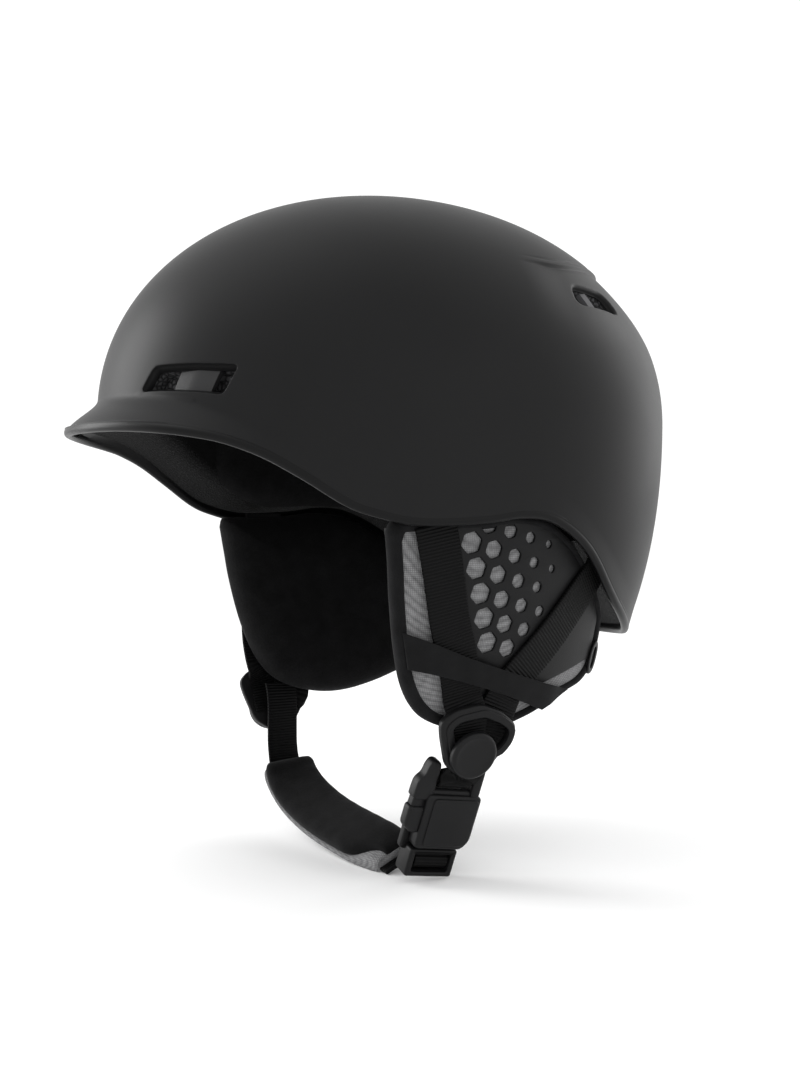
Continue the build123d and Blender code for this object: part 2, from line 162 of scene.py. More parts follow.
def grown(points, distance):
    """An anticlockwise outline moved outwards by a distance."""
    p = np.asarray(points, float)
    before = unit(p - np.roll(p, 1, 0))
    after = unit(np.roll(p, -1, 0) - p)
    normals = unit(np.stack([(before + after)[:, 1], -(before + after)[:, 0]], axis=1))
    side = np.stack([after[:, 1], -after[:, 0]], axis=1)
    stretch = 1 / np.maximum(np.sum(normals * side, axis=1), 0.5)
    return p + normals * stretch[:, None] * distance


# ---- meshes ----------------------------------------------------------------------------------
def make_object(name, points, faces, materials, body, stands_for=(), uv=None, shades=None, sharp=38):
    """A finished piece from points in millimetres."""
    mesh = bpy.data.meshes.new(name)
    mesh.from_pydata((np.asarray(points, float) * MM).tolist(), [], [list(map(int, f)) for f in faces])
    materials = materials if isinstance(materials, (list, tuple)) else [materials]
    for m in materials:
        mesh.materials.append(m)
    if shades is not None:
        mesh.polygons.foreach_set("material_index", np.asarray(shades, np.int32))
    if uv is not None:
        layer = mesh.uv_layers.new(name="run")
        loops = np.zeros(len(mesh.loops), np.int32)
        mesh.loops.foreach_get("vertex_index", loops)
        layer.data.foreach_set("uv", (np.asarray(uv, float)[loops] * MM).ravel())
    obj = bpy.data.objects.new(name, mesh)
    bpy.context.scene.collection.objects.link(obj)
    bm = bmesh.new()
    bm.from_mesh(mesh)
    bmesh.ops.recalc_face_normals(bm, faces=bm.faces)
    bm.to_mesh(mesh)
    bm.free()
    mesh.polygons.foreach_set("use_smooth", [True] * len(mesh.polygons))
    mesh.set_sharp_from_angle(angle=math.radians(sharp))
    if body:
        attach(obj, body)
    if stands_for:
        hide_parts(*stands_for)
    return obj


def joined(*parts):
    """Several (points, faces) as one."""
    points = []
    faces = []
    for p, f in parts:
        start = len(points)
        points += list(map(list, p))
        faces += [[i + start for i in face] for face in f]
    return np.array(points, float), faces


def slab(outline, top, bottom, holes=(), edge=0.6, back_edge=0.3, steps=3, grid=0.0):
    """A flat solid with rounded rims, as points (across, up, height) and faces.

    grid adds cuts, so that it can bend.
    """
    loops = [turned_left(outline)] + [turned_left(h)[::-1] for h in holes]
    turns = np.linspace(0, math.pi / 2, steps + 1)
    levels = [(edge * (1 - math.sin(a)), top - edge * (1 - math.cos(a))) for a in turns]
    levels += [(back_edge * (1 - math.sin(a)), bottom + back_edge * (1 - math.cos(a))) for a in turns[::-1]]
    points = []
    faces = []
    starts = []
    for inset, height in levels:
        row = []
        for k, loop in enumerate(loops):
            row.append(len(points))
            if k == 0:
                flat = grown(loop, -inset)
            else:
                flat = grown(loop[::-1], inset)[::-1]
            points += [(a, b, height) for a, b in flat]
        starts.append(row)
    for upper, lower in zip(starts, starts[1:]):
        for first, below, loop in zip(upper, lower, loops):
            n = len(loop)
            for i in range(n):
                j = (i + 1) % n
                faces.append([first + i, below + i, below + j, first + j])
    for row, flip in ((starts[0], False), (starts[-1], True)):
        flat = [[Vector((points[s + i][0], points[s + i][1], 0)) for i in range(len(loop))]
                for s, loop in zip(row, loops)]
        index = [s + i for s, loop in zip(row, loops) for i in range(len(loop))]
        for tri in tessellate_polygon(flat):
            faces.append([index[i] for i in (tri[::-1] if flip else tri)])
    if grid:
        points, faces = gridded(points, faces, grid)
    return np.array(points, float), faces


def gridded(points, faces, step):
    """The mesh with extra cuts every step across and up, so that it can bend."""
    bm = bmesh.new()
    verts = [bm.verts.new(p) for p in points]
    for f in faces:
        if len(set(f)) > 2:
            try:
                bm.faces.new([verts[i] for i in f])
            except ValueError:
                pass
    low = np.min(points, axis=0)
    high = np.max(points, axis=0)
    for axis in (0, 1):
        normal = [0, 0, 0]
        normal[axis] = 1
        for at in np.arange(low[axis] + step / 2, high[axis], step):
            place = [0, 0, 0]
            place[axis] = at
            geometry = bm.verts[:] + bm.edges[:] + bm.faces[:]
            bmesh.ops.bisect_plane(bm, geom=geometry, plane_co=place, plane_no=normal, dist=1e-4)
    bm.verts.index_update()
    out = [tuple(v.co) for v in bm.verts]
    new_faces = [[v.index for v in f.verts] for f in bm.faces]
    bm.free()
    return out, new_faces


def tube(rings, capped=True):
    """Points and faces through equal closed rings, with their ends closed."""
    rings = np.asarray(rings, float)
    count, around = rings.shape[:2]
    faces = []
    for r in range(count - 1):
        for i in range(around):
            j = (i + 1) % around
            faces.append([r * around + i, r * around + j, (r + 1) * around + j, (r + 1) * around + i])
    if capped:
        faces.append(list(range(around))[::-1])
        faces.append([(count - 1) * around + i for i in range(around)])
    return rings.reshape(-1, 3), faces


def mirrored(data):
    """The same points and faces on the other side."""
    points, faces = data
    points = np.array(points, float)
    points[:, 0] *= -1
    return points, [f[::-1] for f in faces]


def ribbon(line, across, width, wall):
    """Flat webbing along a line. across is the direction of its width at each point."""
    line = np.asarray(line, float)
    across = unit(np.broadcast_to(across, line.shape))
    along = unit(np.gradient(line, axis=0))
    across = unit(across - along * np.sum(across * along, axis=1)[:, None])
    out = np.cross(along, across)
    half = width / 2
    shares = np.array([-1, -0.985, -0.93, -0.6, -0.2, 0.2, 0.6, 0.93, 0.985, 1])
    rise = np.array([0.15, 0.75, 1, 0.9, 0.94, 0.94, 0.9, 1, 0.75, 0.15]) * wall / 2
    section = [(s * half, h) for s, h in zip(shares, rise)]
    section += [(s * half, -h) for s, h in zip(shares[::-1], rise[::-1])]
    rings = []
    for k in range(len(line)):
        rings.append([line[k] + across[k] * a + out[k] * h for a, h in section])
    points, faces = tube(rings)
    run = np.concatenate([[0], np.cumsum(np.linalg.norm(np.diff(line, axis=0), axis=1))])
    uv = [(a, run[k]) for k in range(len(line)) for a, h in section]
    return points, faces, uv


# ---- materials -------------------------------------------------------------------------------
def new_material(name, colour, roughness, sheen=0.0, specular=0.5, coat=0.0):
    """A principled material, with its shader, node tree and object coordinates."""
    m = bpy.data.materials.new(name)
    m.use_nodes = True
    tree = m.node_tree
    shader = tree.nodes["Principled BSDF"]
    shader.inputs["Base Color"].default_value = (*colour, 1)
    shader.inputs["Roughness"].default_value = roughness
    shader.inputs["Specular IOR Level"].default_value = specular
    shader.inputs["Coat Weight"].default_value = coat
    if sheen:
        shader.inputs["Sheen Weight"].default_value = sheen
        shader.inputs["Sheen Roughness"].default_value = 0.45
        shader.inputs["Sheen Tint"].default_value = (0.5, 0.5, 0.52, 1)
    coordinates = tree.nodes.new("ShaderNodeTexCoord")
    return m, tree, shader, coordinates.outputs["Object"]


def noise(tree, vector, scale, detail=3.0):
    node = tree.nodes.new("ShaderNodeTexNoise")
    node.inputs["Scale"].default_value = scale
    node.inputs["Detail"].default_value = detail
    tree.links.new(vector, node.inputs["Vector"])
    return node.outputs["Fac"]


def cells(tree, vector, scale, feature="F1", randomness=1.0):
    node = tree.nodes.new("ShaderNodeTexVoronoi")
    node.feature = feature
    node.inputs["Randomness"].default_value = randomness
    node.inputs["Scale"].default_value = scale
    tree.links.new(vector, node.inputs["Vector"])
    return node.outputs["Distance"]


def bands(tree, vector, direction, scale, distortion=0.0):
    node = tree.nodes.new("ShaderNodeTexWave")
    node.bands_direction = direction
    node.inputs["Scale"].default_value = scale
    node.inputs["Distortion"].default_value = distortion
    tree.links.new(vector, node.inputs["Vector"])
    return node.outputs["Fac"]


def mixed(tree, a, b, operation="MULTIPLY"):
    node = tree.nodes.new("ShaderNodeMath")
    node.operation = operation
    tree.links.new(a, node.inputs[0])
    if isinstance(b, float):
        node.inputs[1].default_value = b
    else:
        tree.links.new(b, node.inputs[1])
    return node.outputs[0]


def ramped(tree, value, low, high, colour_low, colour_high):
    node = tree.nodes.new("ShaderNodeValToRGB")
    node.color_ramp.elements[0].position = low
    node.color_ramp.elements[0].color = (*colour_low, 1)
    node.color_ramp.elements[1].position = high
    node.color_ramp.elements[1].color = (*colour_high, 1)
    tree.links.new(value, node.inputs["Fac"])
    return node.outputs["Color"]


def bumped(tree, shader, height, depth_mm, strength=1.0, after=None):
    node = tree.nodes.new("ShaderNodeBump")
    node.inputs["Strength"].default_value = strength
    node.inputs["Distance"].default_value = depth_mm * MM
    tree.links.new(height, node.inputs["Height"])
    if after is not None:
        tree.links.new(after, node.inputs["Normal"])
    tree.links.new(node.outputs["Normal"], shader.inputs["Normal"])
    return node.outputs["Normal"]


def moulded(name, colour, roughness, grain_mm=0.35, depth=0.02, variation=0.12, specular=0.5):
    """Moulded plastic with a fine texture and slight wear."""
    m, tree, shader, at = new_material(name, colour, roughness, specular=specular)
    fine = noise(tree, at, 1 / (grain_mm * MM), 2.0)
    broad = noise(tree, at, 28.0, 4.0)
    low = tuple(c * (1 - variation) for c in colour)
    high = tuple(c * (1 + variation) for c in colour)
    tree.links.new(ramped(tree, broad, 0.3, 0.7, low, high), shader.inputs["Base Color"])
    spread = tree.nodes.new("ShaderNodeMapRange")
    spread.inputs["To Min"].default_value = roughness - 0.04
    spread.inputs["To Max"].default_value = roughness + 0.05
    tree.links.new(broad, spread.inputs["Value"])
    tree.links.new(spread.outputs["Result"], shader.inputs["Roughness"])
    bumped(tree, shader, fine, depth)
    return m


def brushed(name, colour, tuft_mm=0.7, depth=0.28, sheen=0.25, variation=0.5):
    """Fleece or brushed knit."""
    m, tree, shader, at = new_material(name, colour, 0.95, sheen=sheen, specular=0.15)
    tufts = noise(tree, at, 1 / (tuft_mm * MM), 5.0)
    nap = noise(tree, at, 130.0, 3.0)
    low = tuple(c * (1 - variation) for c in colour)
    high = tuple(c * (1 + variation) for c in colour)
    shade = mixed(tree, tufts, nap, "MULTIPLY")
    tree.links.new(ramped(tree, shade, 0.12, 0.42, low, high), shader.inputs["Base Color"])
    first = bumped(tree, shader, tufts, depth, 0.8)
    bumped(tree, shader, nap, 0.5, 0.35, after=first)
    return m


def bead_foam(name, colour, bead_mm=2.6):
    """Expanded bead foam: pressed cells with dark joints."""
    m, tree, shader, at = new_material(name, colour, 0.8, specular=0.12)
    joints = cells(tree, at, 1 / (bead_mm * MM), "DISTANCE_TO_EDGE")
    fine = noise(tree, at, 2400.0, 2.0)
    low = tuple(c * 0.2 for c in colour)
    tree.links.new(ramped(tree, joints, 0.02, 0.3, low, colour), shader.inputs["Base Color"])
    first = bumped(tree, shader, joints, 0.9, 1.0)
    bumped(tree, shader, fine, 0.05, 0.5, after=first)
    return m


def spacer_mesh(name, colour):
    """Knitted spacer mesh: rows of small open loops."""
    m, tree, shader, at = new_material(name, colour, 0.85, specular=0.15)
    loops = cells(tree, at, 1 / (0.8 * MM), randomness=0.06)
    speck = mixed(tree, noise(tree, at, 420.0, 4.0), 0.45)
    weave = mixed(tree, loops, speck, "ADD")
    low = tuple(c * 0.45 for c in colour)
    high = tuple(c * 1.5 for c in colour)
    tree.links.new(ramped(tree, weave, 0.3, 1.0, high, low), shader.inputs["Base Color"])
    bumped(tree, shader, weave, -0.22, 0.7)
    return m


def ribbed_webbing(name, colour, pitch_mm=1.35, depth=0.32):
    """Woven webbing: cross ribs along the run and fine yarns across it."""
    m, tree, shader, at = new_material(name, colour, 0.6, specular=0.1)
    uv = tree.nodes.new("ShaderNodeUVMap")
    uv.uv_map = "run"
    period = 2 * math.pi / 20
    ribs = bands(tree, uv.outputs["UV"], "Y", period / (pitch_mm * MM), 0.15)
    yarns = bands(tree, uv.outputs["UV"], "X", period / (0.55 * MM), 0.3)
    low = tuple(c * 0.45 for c in colour)
    high = tuple(c * 1.7 for c in colour)
    tree.links.new(ramped(tree, ribs, 0.1, 0.9, low, high), shader.inputs["Base Color"])
    first = bumped(tree, shader, ribs, depth, 0.9)
    bumped(tree, shader, yarns, 0.06, 0.5, after=first)
    return m


shell_finish = moulded("shell_matte", (0.0065, 0.0065, 0.0068), 0.45, 0.3, 0.012, 0.08, specular=0.14)
trim_finish = moulded("trim_black", (0.003, 0.003, 0.0032), 0.38, 0.5, 0.02, 0.1, specular=0.14)
foam_finish = bead_foam("liner_beads", (0.0095, 0.0095, 0.0099), 1.3)
vent_foam_finish = bead_foam("vent_beads", (0.12, 0.12, 0.124), 2.1)
bar_finish = moulded("vent_bar_satin", (0.018, 0.018, 0.0186), 0.4, 0.4, 0.015, specular=0.3)
rear_bar_finish = moulded("rear_bar_grey", (0.10, 0.10, 0.104), 0.42, 0.4, 0.015, specular=0.3)
fleece_finish = brushed("fleece_black", (0.0042, 0.0042, 0.0044), sheen=0.06)
binding_finish = brushed("binding_knit", (0.006, 0.006, 0.0064), 0.4, 0.12, 0.06)
pad_finish = brushed("comfort_fleece", (0.0035, 0.0035, 0.0037), 0.9, 0.3, sheen=0.03)
mesh_finish = spacer_mesh("mesh_grey", (0.185, 0.185, 0.188))
panel_finish = moulded("panel_black", (0.0050, 0.0050, 0.0053), 0.5, 0.5, 0.05, 0.15, specular=0.16)
webbing_finish = ribbed_webbing("webbing_black", (0.0022, 0.0022, 0.0023))
elastic_finish = brushed("elastic_black", (0.0065, 0.0065, 0.0068), 0.35, 0.06, 0.05, 0.25)
hardware_finish = moulded("hardware_black", (0.0055, 0.0055, 0.0058), 0.4, 0.45, 0.03, 0.15, specular=0.16)
lock_finish = moulded("lock_black", (0.0065, 0.0065, 0.0069), 0.4, 0.4, 0.02, 0.12, specular=0.16)
cradle_finish = moulded("cradle_black", (0.0035, 0.0035, 0.0037), 0.5, 0.6, 0.04, specular=0.12)

# ---- the dome --------------------------------------------------------------------------------
EDGE_LINE = smooth_line(EDGE, 24)
STEP_DEPTH = 1.5
STEP_HEIGHT = 109.6
STEP_START = 20.0
CROWN_LINE_RISE = 3.2


def edge_level(y):
    """Height of the shell's lower edge at y."""
    return np.interp(y, EDGE_LINE[:, 0], EDGE_LINE[:, 1])


def flare_level(y):
    """Smooth height that the brim's flare is measured from."""
    return 38.5 - 38.5 * ease((y + 128) / 92) - 52 * ease((y - 20) / 90)


def dome(directions, inset=0.0, flared=True, detailed=False):
    """Points of the dome along unit directions from its centre."""
    d = np.asarray(directions, float)
    x, y, z = d[..., 0], d[..., 1], d[..., 2]
    reach = np.where(y > 0, REAR_REACH, FRONT_REACH) - inset
    rise = np.where(z > 0, CROWN_RISE, NAPE_DROP) - inset
    plan = np.hypot(x / (HALF_WIDTH - inset), y / reach)
    radius = (plan ** ROUNDNESS + np.abs(z / rise) ** ROUNDNESS) ** (-1 / ROUNDNESS)
    if flared:
        azimuth = np.abs(np.degrees(np.arctan2(x, -y)))
        above = radius * z + CENTRE[2] - flare_level(radius * y + CENTRE[1])
        flare = 1 + BRIM_FLARE * (1 - ease((azimuth - BRIM_FLARE_START) / BRIM_FLARE_FADE))
        radius = radius + flare * (1 - ease(above / BRIM_FLARE_RISE)) * np.hypot(x, y)
    if detailed:
        at_y = radius * y + CENTRE[1]
        at_z = radius * z + CENTRE[2]
        line = STEP_HEIGHT + CROWN_LINE_RISE * ease((at_y - 36) / 40)
        below = line - at_z
        share = ease((at_y - STEP_START) / 26)
        drop = ease(below / 1.6) * (1 - ease((below - 4) / 34))
        groove = np.exp(-((below + 1.6) / 0.5) ** 2) * 0.35
        radius = radius - share * (STEP_DEPTH * drop + groove)
    return CENTRE + d * radius[..., None]


def direction(azimuth, elevation):
    """Unit vectors; azimuth runs from the brow towards the wearer's left."""
    return np.stack([np.cos(elevation) * np.sin(azimuth), -np.cos(elevation) * np.cos(azimuth),
                     np.sin(elevation)], axis=-1)


def edge_elevation(azimuth, inset=0.0, raised=0.0, flared=True):
    """Elevation where the dome meets the shell's lower edge."""
    low = np.full(azimuth.shape, -1.2)
    high = np.full(azimuth.shape, 0.5)
    for _ in range(40):
        middle = (low + high) / 2
        p = dome(direction(azimuth, middle), inset, flared)
        under = p[..., 2] < edge_level(p[..., 1]) + raised
        low = np.where(under, middle, low)
        high = np.where(under, high, middle)
    return high


def on_dome(points, towards, inset, flared=True, detailed=False):
    """Points moved along a direction onto the dome."""
    low = np.full(len(points), -25.0)
    high = np.full(len(points), 30.0)
    for _ in range(36):
        middle = (low + high) / 2
        p = points + towards * middle[:, None]
        offset = p - CENTRE
        reach = np.linalg.norm(dome(unit(offset), inset, flared, detailed) - CENTRE, axis=1)
        inside = np.linalg.norm(offset, axis=1) < reach
        low = np.where(inside, middle, low)
        high = np.where(inside, high, middle)
    return points + towards * high[:, None]


def dome_rows(azimuth, start, count, crowd=0.0):
    """Elevations from start to the crown for each azimuth, closest at the edge and the crown step."""
    t = np.linspace(0, 1, 500)
    rows = []
    for first in start:
        level = first + (math.pi / 2 - first) * t
        weight = 1 + 2.5 * np.exp(-(level - first) / 0.12) + crowd * np.exp(-((level - 0.637) / 0.06) ** 2)
        total = np.concatenate([[0], np.cumsum((weight[1:] + weight[:-1]) / 2)])
        rows.append(np.interp(np.linspace(0, total[-1], count), total, level))
    return np.array(rows).T


class Skin:
    """A mesh in the making, with vents cut into its dome surfaces."""

    def __init__(self):
        self.bm = bmesh.new()

    def surface(self, azimuth, start, rows, inset, flared, shade=0, outward=True, crowd=0.0,
                detailed=False):
        """Adds the dome from start up to the crown and returns its lowest ring of vertices."""
        levels = dome_rows(azimuth, start, rows, crowd)[:-1]
        grid = dome(direction(azimuth[None, :], levels), inset, flared, detailed)
        crown = dome(np.array([0.0, 0.0, 1.0]), inset, flared, detailed)
        rings = [[self.bm.verts.new(p) for p in row] for row in grid]
        top = self.bm.verts.new(crown)
        for low, high in zip(rings, rings[1:]):
            self.strip(low, high, shade, outward)
        last = rings[-1]
        for i in range(len(last)):
            self.face([last[i], last[(i + 1) % len(last)], top], shade, outward)
        return rings[0]

    def face(self, verts, shade=0, outward=True):
        f = self.bm.faces.new(verts if outward else verts[::-1])
        f.material_index = shade
        return f

    def strip(self, low, high, shade=0, outward=True):
        n = len(low)
        for i in range(n):
            j = (i + 1) % n
            self.face([low[i], low[j], high[j], high[i]], shade, outward)

    def ring(self, points):
        return [self.bm.verts.new(p) for p in points]

    def stitch(self, outer, inner, shade, outward):
        """Joins two closed loops with different numbers of points by triangles."""
        start = min(range(len(inner)), key=lambda k: (inner[k].co - outer[0].co).length)
        inner = inner[start:] + inner[:start]
        i = j = 0
        while i < len(outer) or j < len(inner):
            a, b = outer[i % len(outer)], inner[j % len(inner)]
            next_a, next_b = outer[(i + 1) % len(outer)], inner[(j + 1) % len(inner)]
            take_outer = j >= len(inner)
            if i < len(outer) and not take_outer:
                take_outer = (next_a.co - b.co).length < (next_b.co - a.co).length
            if take_outer:
                self.face([a, next_a, b], shade, outward)
                i += 1
            else:
                self.face([a, next_b, b], shade, outward)
                j += 1

    def vent(self, vent, side, inset, flared, margin, rings, outward=True, rim_shade=0, detailed=False):
        """Clears one vent in a dome surface, then runs rings of (growth, depth) inwards.

        Returns the last ring.
        """
        origin, across, up, out = (v * np.array([side, 1, 1]) for v in vent["frame"])
        outline = vent["outline"]
        middle = outline.mean(axis=0)
        reach = np.abs(outline - middle).max(axis=0) + margin + 12
        level = self.level(inset, flared, detailed)
        doomed = []
        limit = grown(outline, margin)
        for v in self.bm.verts:
            offset = np.array(v.co) - origin
            if abs(offset @ out) > 16:
                continue
            flat = np.array([offset @ across, offset @ up])
            if np.any(np.abs(flat - middle) > reach) or not inside(flat, limit):
                continue
            if abs(level(v.co)) < 0.6:
                doomed.append(v)
        bmesh.ops.delete(self.bm, geom=doomed, context="VERTS")
        made = []
        for growth, depth in rings:
            flat = grown(outline, growth)
            points = origin + flat[:, :1] * across + flat[:, 1:] * up
            points = on_dome(points, out, inset, flared, detailed) - out * depth
            made.append(self.ring(points))
        edges = self.hole_near(made[0])
        self.stitch(edges, made[0], 0, outward)
        for a, b in zip(made, made[1:]):
            self.strip(a, b, rim_shade, outward)
        return made[-1]

    def level(self, inset, flared, detailed):
        """How far a point stands from a dome surface."""
        def measure(co):
            offset = np.array(co) - CENTRE
            surface = dome(unit(offset), inset, flared, detailed) - CENTRE
            return np.linalg.norm(offset) - np.linalg.norm(surface)
        return measure

    def hole_near(self, ring):
        """The open loop around a ring, in the ring's own sense."""
        middle = sum((v.co for v in ring), Vector()) / len(ring)
        ends = {}
        for e in self.bm.edges:
            if len(e.link_faces) == 1 and ((e.verts[0].co - middle).length < 60):
                for a, b in ((0, 1), (1, 0)):
                    ends.setdefault(e.verts[a], []).append(e.verts[b])
        own = set(ring)
        free = [v for v in ends if v not in own]
        first = min(free, key=lambda v: min((v.co - r.co).length for r in ring[::8]))
        loop = [first]
        before = None
        while True:
            options = [v for v in ends[loop[-1]] if v is not before]
            following = options[0]
            if following is first:
                break
            before = loop[-1]
            loop.append(following)
        axis = (ring[0].co - middle).cross(ring[len(ring) // 4].co - middle)
        turn = sum(((a.co - middle).cross(b.co - middle).dot(axis) for a, b in zip(loop, loop[1:])), 0.0)
        return loop if turn > 0 else loop[::-1]

    def finish(self, name, materials, body, slot, stands_for, sharp=40):
        for v in self.bm.verts:
            v.co *= MM
        mesh = bpy.data.meshes.new(name)
        bmesh.ops.recalc_face_normals(self.bm, faces=self.bm.faces)
        self.bm.to_mesh(mesh)
        self.bm.free()
        for m in materials:
            mesh.materials.append(m)
        obj = bpy.data.objects.new(name, mesh)
        bpy.context.scene.collection.objects.link(obj)
        mesh.polygons.foreach_set("use_smooth", [True] * len(mesh.polygons))
        mesh.set_sharp_from_angle(angle=math.radians(sharp))
        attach(obj, body)
        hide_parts(*stands_for)
        return obj


def inside(point, outline):
    """Whether a flat point lies inside an outline."""
    a = outline
    b = np.roll(outline, -1, 0)
    crosses = (a[:, 1] > point[1]) != (b[:, 1] > point[1])
    at = a[:, 0] + (point[1] - a[:, 1]) / np.where(crosses, b[:, 1] - a[:, 1], 1) * (b[:, 0] - a[:, 0])
    return np.count_nonzero(crosses & (point[0] < at)) % 2 == 1


def vent_frame(origin, across, out):
    out = unit(out)
    across = unit(np.asarray(across, float) - out * (np.asarray(across, float) @ out))
    return [np.asarray(origin, float), across, np.cross(out, across), out]


VENT_POINTS = 96
VENTS = {
    "front": {"frame": vent_frame((53.5, -109, 57), (0.815, 0.58, 0), (0.545, -0.766, 0.34)),
              "outline": [(-24.7, -2.8), (15.4, -5.9), (21.2, 5.4), (-17.6, 6.3)],
              "corner": 2.4, "rim": 0.5, "slope": 1.5},
    "rear": {"frame": vent_frame((76.5, 62.5, 96.4), (-0.42, 0.905, 0), (0.70, 0.36, 0.62)),
             "outline": [(-17, -4), (16.5, -5.5), (13, 5), (-13, 6)],
             "corner": 5.0, "rim": 1.5, "slope": 0.5},
}
for vent in VENTS.values():
    cornered = rounded_corners(turned_left(vent["outline"]), vent["corner"], 8)
    vent["outline"] = respaced(cornered, VENT_POINTS, closed=True)

# ---- outer shell -----------------------------------------------------------------------------
SHELL_COLUMNS = 480
SHELL_ROWS = 210
LIP_HEIGHT = 4.2
# Lip section as (distance above the edge, distance out from the shell's face).
LIP = [(3.7, 0.0), (3.3, -0.06), (3.0, 0.04), (2.6, 0.2), (2.1, 0.28), (1.5, 0.24), (0.9, 0.02),
       (0.4, -0.4), (0.1, -0.95), (0.0, -1.5), (0.1, -2.1), (0.5, -2.7), (1.1, -3.1), (1.9, -3.3),
       (3.2, -3.3), (4.0, -3.05)]
LIP_BAND = range(2, 15)
azimuths = np.linspace(0, 2 * math.pi, SHELL_COLUMNS, endpoint=False)
edge_at = edge_elevation(azimuths)
edge_points = dome(direction(azimuths, edge_at))
slightly_up = dome(direction(azimuths, edge_at + 0.004))
rise_per_turn = np.linalg.norm(slightly_up - edge_points, axis=1) / 0.004
run_along = unit(np.roll(edge_points, -1, 0) - np.roll(edge_points, 1, 0))
face_out = unit(np.cross(run_along, unit(slightly_up - edge_points)))
edge_up = unit(np.cross(face_out, run_along))

shell = Skin()
lip_start = edge_at + LIP_HEIGHT / rise_per_turn
outer_ring = shell.surface(azimuths, lip_start, SHELL_ROWS, 0.0, True, crowd=4.0, detailed=True)
inner_ring = shell.surface(azimuths, lip_start, 60, SHELL_WALL, True, outward=False)
previous = outer_ring
for k, (height, out) in enumerate(LIP):
    ring = shell.ring(edge_points + edge_up * height + face_out * out)
    shell.strip(ring, previous, 1 if k in LIP_BAND else 0)
    previous = ring
shell.strip(inner_ring, previous, 0)
for vent in VENTS.values():
    for side in (1, -1):
        rim = vent["rim"]
        turns = np.linspace(0, math.pi / 2, 7)
        slope = vent["slope"]
        rings = [(rim + 1.6, 0), (rim + 0.7, 0)]
        rings += [(rim * (1 - math.sin(a)), rim * (1 - math.cos(a))) for a in turns]
        rings += [(-slope * 0.4, rim + 0.9), (-slope, 2.8)]
        lower = shell.vent(vent, side, SHELL_WALL, True, 4.0, [(2.0, 0), (-slope, 0.6)], outward=False)
        upper = shell.vent(vent, side, 0.0, True, rim + 3.0, rings, detailed=True)
        shell.strip(upper, lower)
shell.finish("helmet_shell", [shell_finish, trim_finish], "helmet", "shell", ["outer_shell"])

# ---- foam liner ------------------------------------------------------------------------------
LINER_COLUMNS = 240
LINER_ROWS = 70
LINER_SETBACK = 3.5
BOND_GAP = 0.25
POCKET_DEPTH = 7.5
RIM_SLOPE = 12.0
# Rim section as (share of the way inwards, rise above the rim).
LINER_RIM = [(0.03, 0.7), (0.1, 0.1), (0.3, -0.1), (0.6, 0.0), (0.8, 0.5), (0.92, 1.8), (0.985, 3.8)]
liner_turns = np.linspace(0, 2 * math.pi, LINER_COLUMNS, endpoint=False)
bond_inset = SHELL_WALL + BOND_GAP
cavity_inset = SHELL_WALL + LINER_WALL
bond_edge = edge_elevation(liner_turns, bond_inset, LINER_SETBACK)
cavity_edge = edge_elevation(liner_turns, cavity_inset, LINER_SETBACK + RIM_SLOPE, flared=False)
rim_outer = dome(direction(liner_turns, bond_edge), bond_inset)
rim_inner = dome(direction(liner_turns, cavity_edge), cavity_inset, flared=False)
liner = Skin()
bond_ring = liner.surface(liner_turns, bond_edge + 0.02, LINER_ROWS, bond_inset, True)
cavity_ring = liner.surface(liner_turns, cavity_edge + 0.06, LINER_ROWS, cavity_inset, False, shade=2,
                            outward=False)
previous = bond_ring
for share, rise in LINER_RIM:
    ring = liner.ring(rim_outer + (rim_inner - rim_outer) * share + np.array([0, 0, rise]))
    liner.strip(ring, previous)
    previous = ring
liner.strip(cavity_ring, previous)
for vent in VENTS.values():
    for side in (1, -1):
        walls = [(2.2, 0.0), (0.6, 0.3), (0.1, 1.2), (-0.2, POCKET_DEPTH * 0.6), (-0.4, POCKET_DEPTH)]
        last = liner.vent(vent, side, bond_inset, True, 5.0, walls, rim_shade=1)
        middle = liner.bm.verts.new(sum((v.co for v in last), Vector()) / len(last))
        for a, b in zip(last, last[1:] + last[:1]):
            liner.face([a, b, middle], 1)
liner.finish("foam_liner_beads", [foam_finish, vent_foam_finish, pad_finish], "helmet", "foam",
             ["foam_liner"])

# ---- vent bars -------------------------------------------------------------------------------


def vent_bar(kind, side, inset_depth, low, high, tilt):
    """A slanted bar across a vent, from low to high along it, with a crease along its middle."""
    origin, across, up, out = (v * np.array([side, 1, 1]) for v in VENTS[kind]["frame"])
    outline = VENTS[kind]["outline"]
    rows = []
    for a in np.linspace(low, high, 9):
        near = outline[np.argsort(np.abs(outline[:, 0] - a))[:6]]
        reach = (near[:, 1].min() - 0.8, near[:, 1].max() + 0.8)
        crease = 0.9 * (1 - abs(2 * (a - low) / (high - low) - 1))
        for b in np.linspace(reach[0], reach[1], 7):
            shift = tilt * (b - near[:, 1].mean())
            base = origin + across * (a + shift) + up * b
            rows.append((base, crease))
    base = np.array([r[0] for r in rows])
    top = on_dome(base, out, 0.0) - out * (inset_depth - np.array([[r[1]] for r in rows]))
    front = top.reshape(9, 7, 3)
    back = front - out * 2.2
    ring_rows = [np.vstack([front[i], back[i][::-1]]) for i in range(9)]
    return tube(ring_rows)


for side, label in ((1, "left"), (-1, "right")):
    points, faces = vent_bar("front", side, 3.9, -8.0, 9.5, 0.45)
    make_object(label + "_front_bar", points, faces, bar_finish, "helmet",
                [label + "_front_vent_bar"], sharp=14)
    points, faces = vent_bar("rear", side, 4.6, -2.2, 3.4, -0.25)
    make_object(label + "_rear_bar", points, faces, rear_bar_finish, "helmet",
                [label + "_rear_vent_bar"], sharp=14)

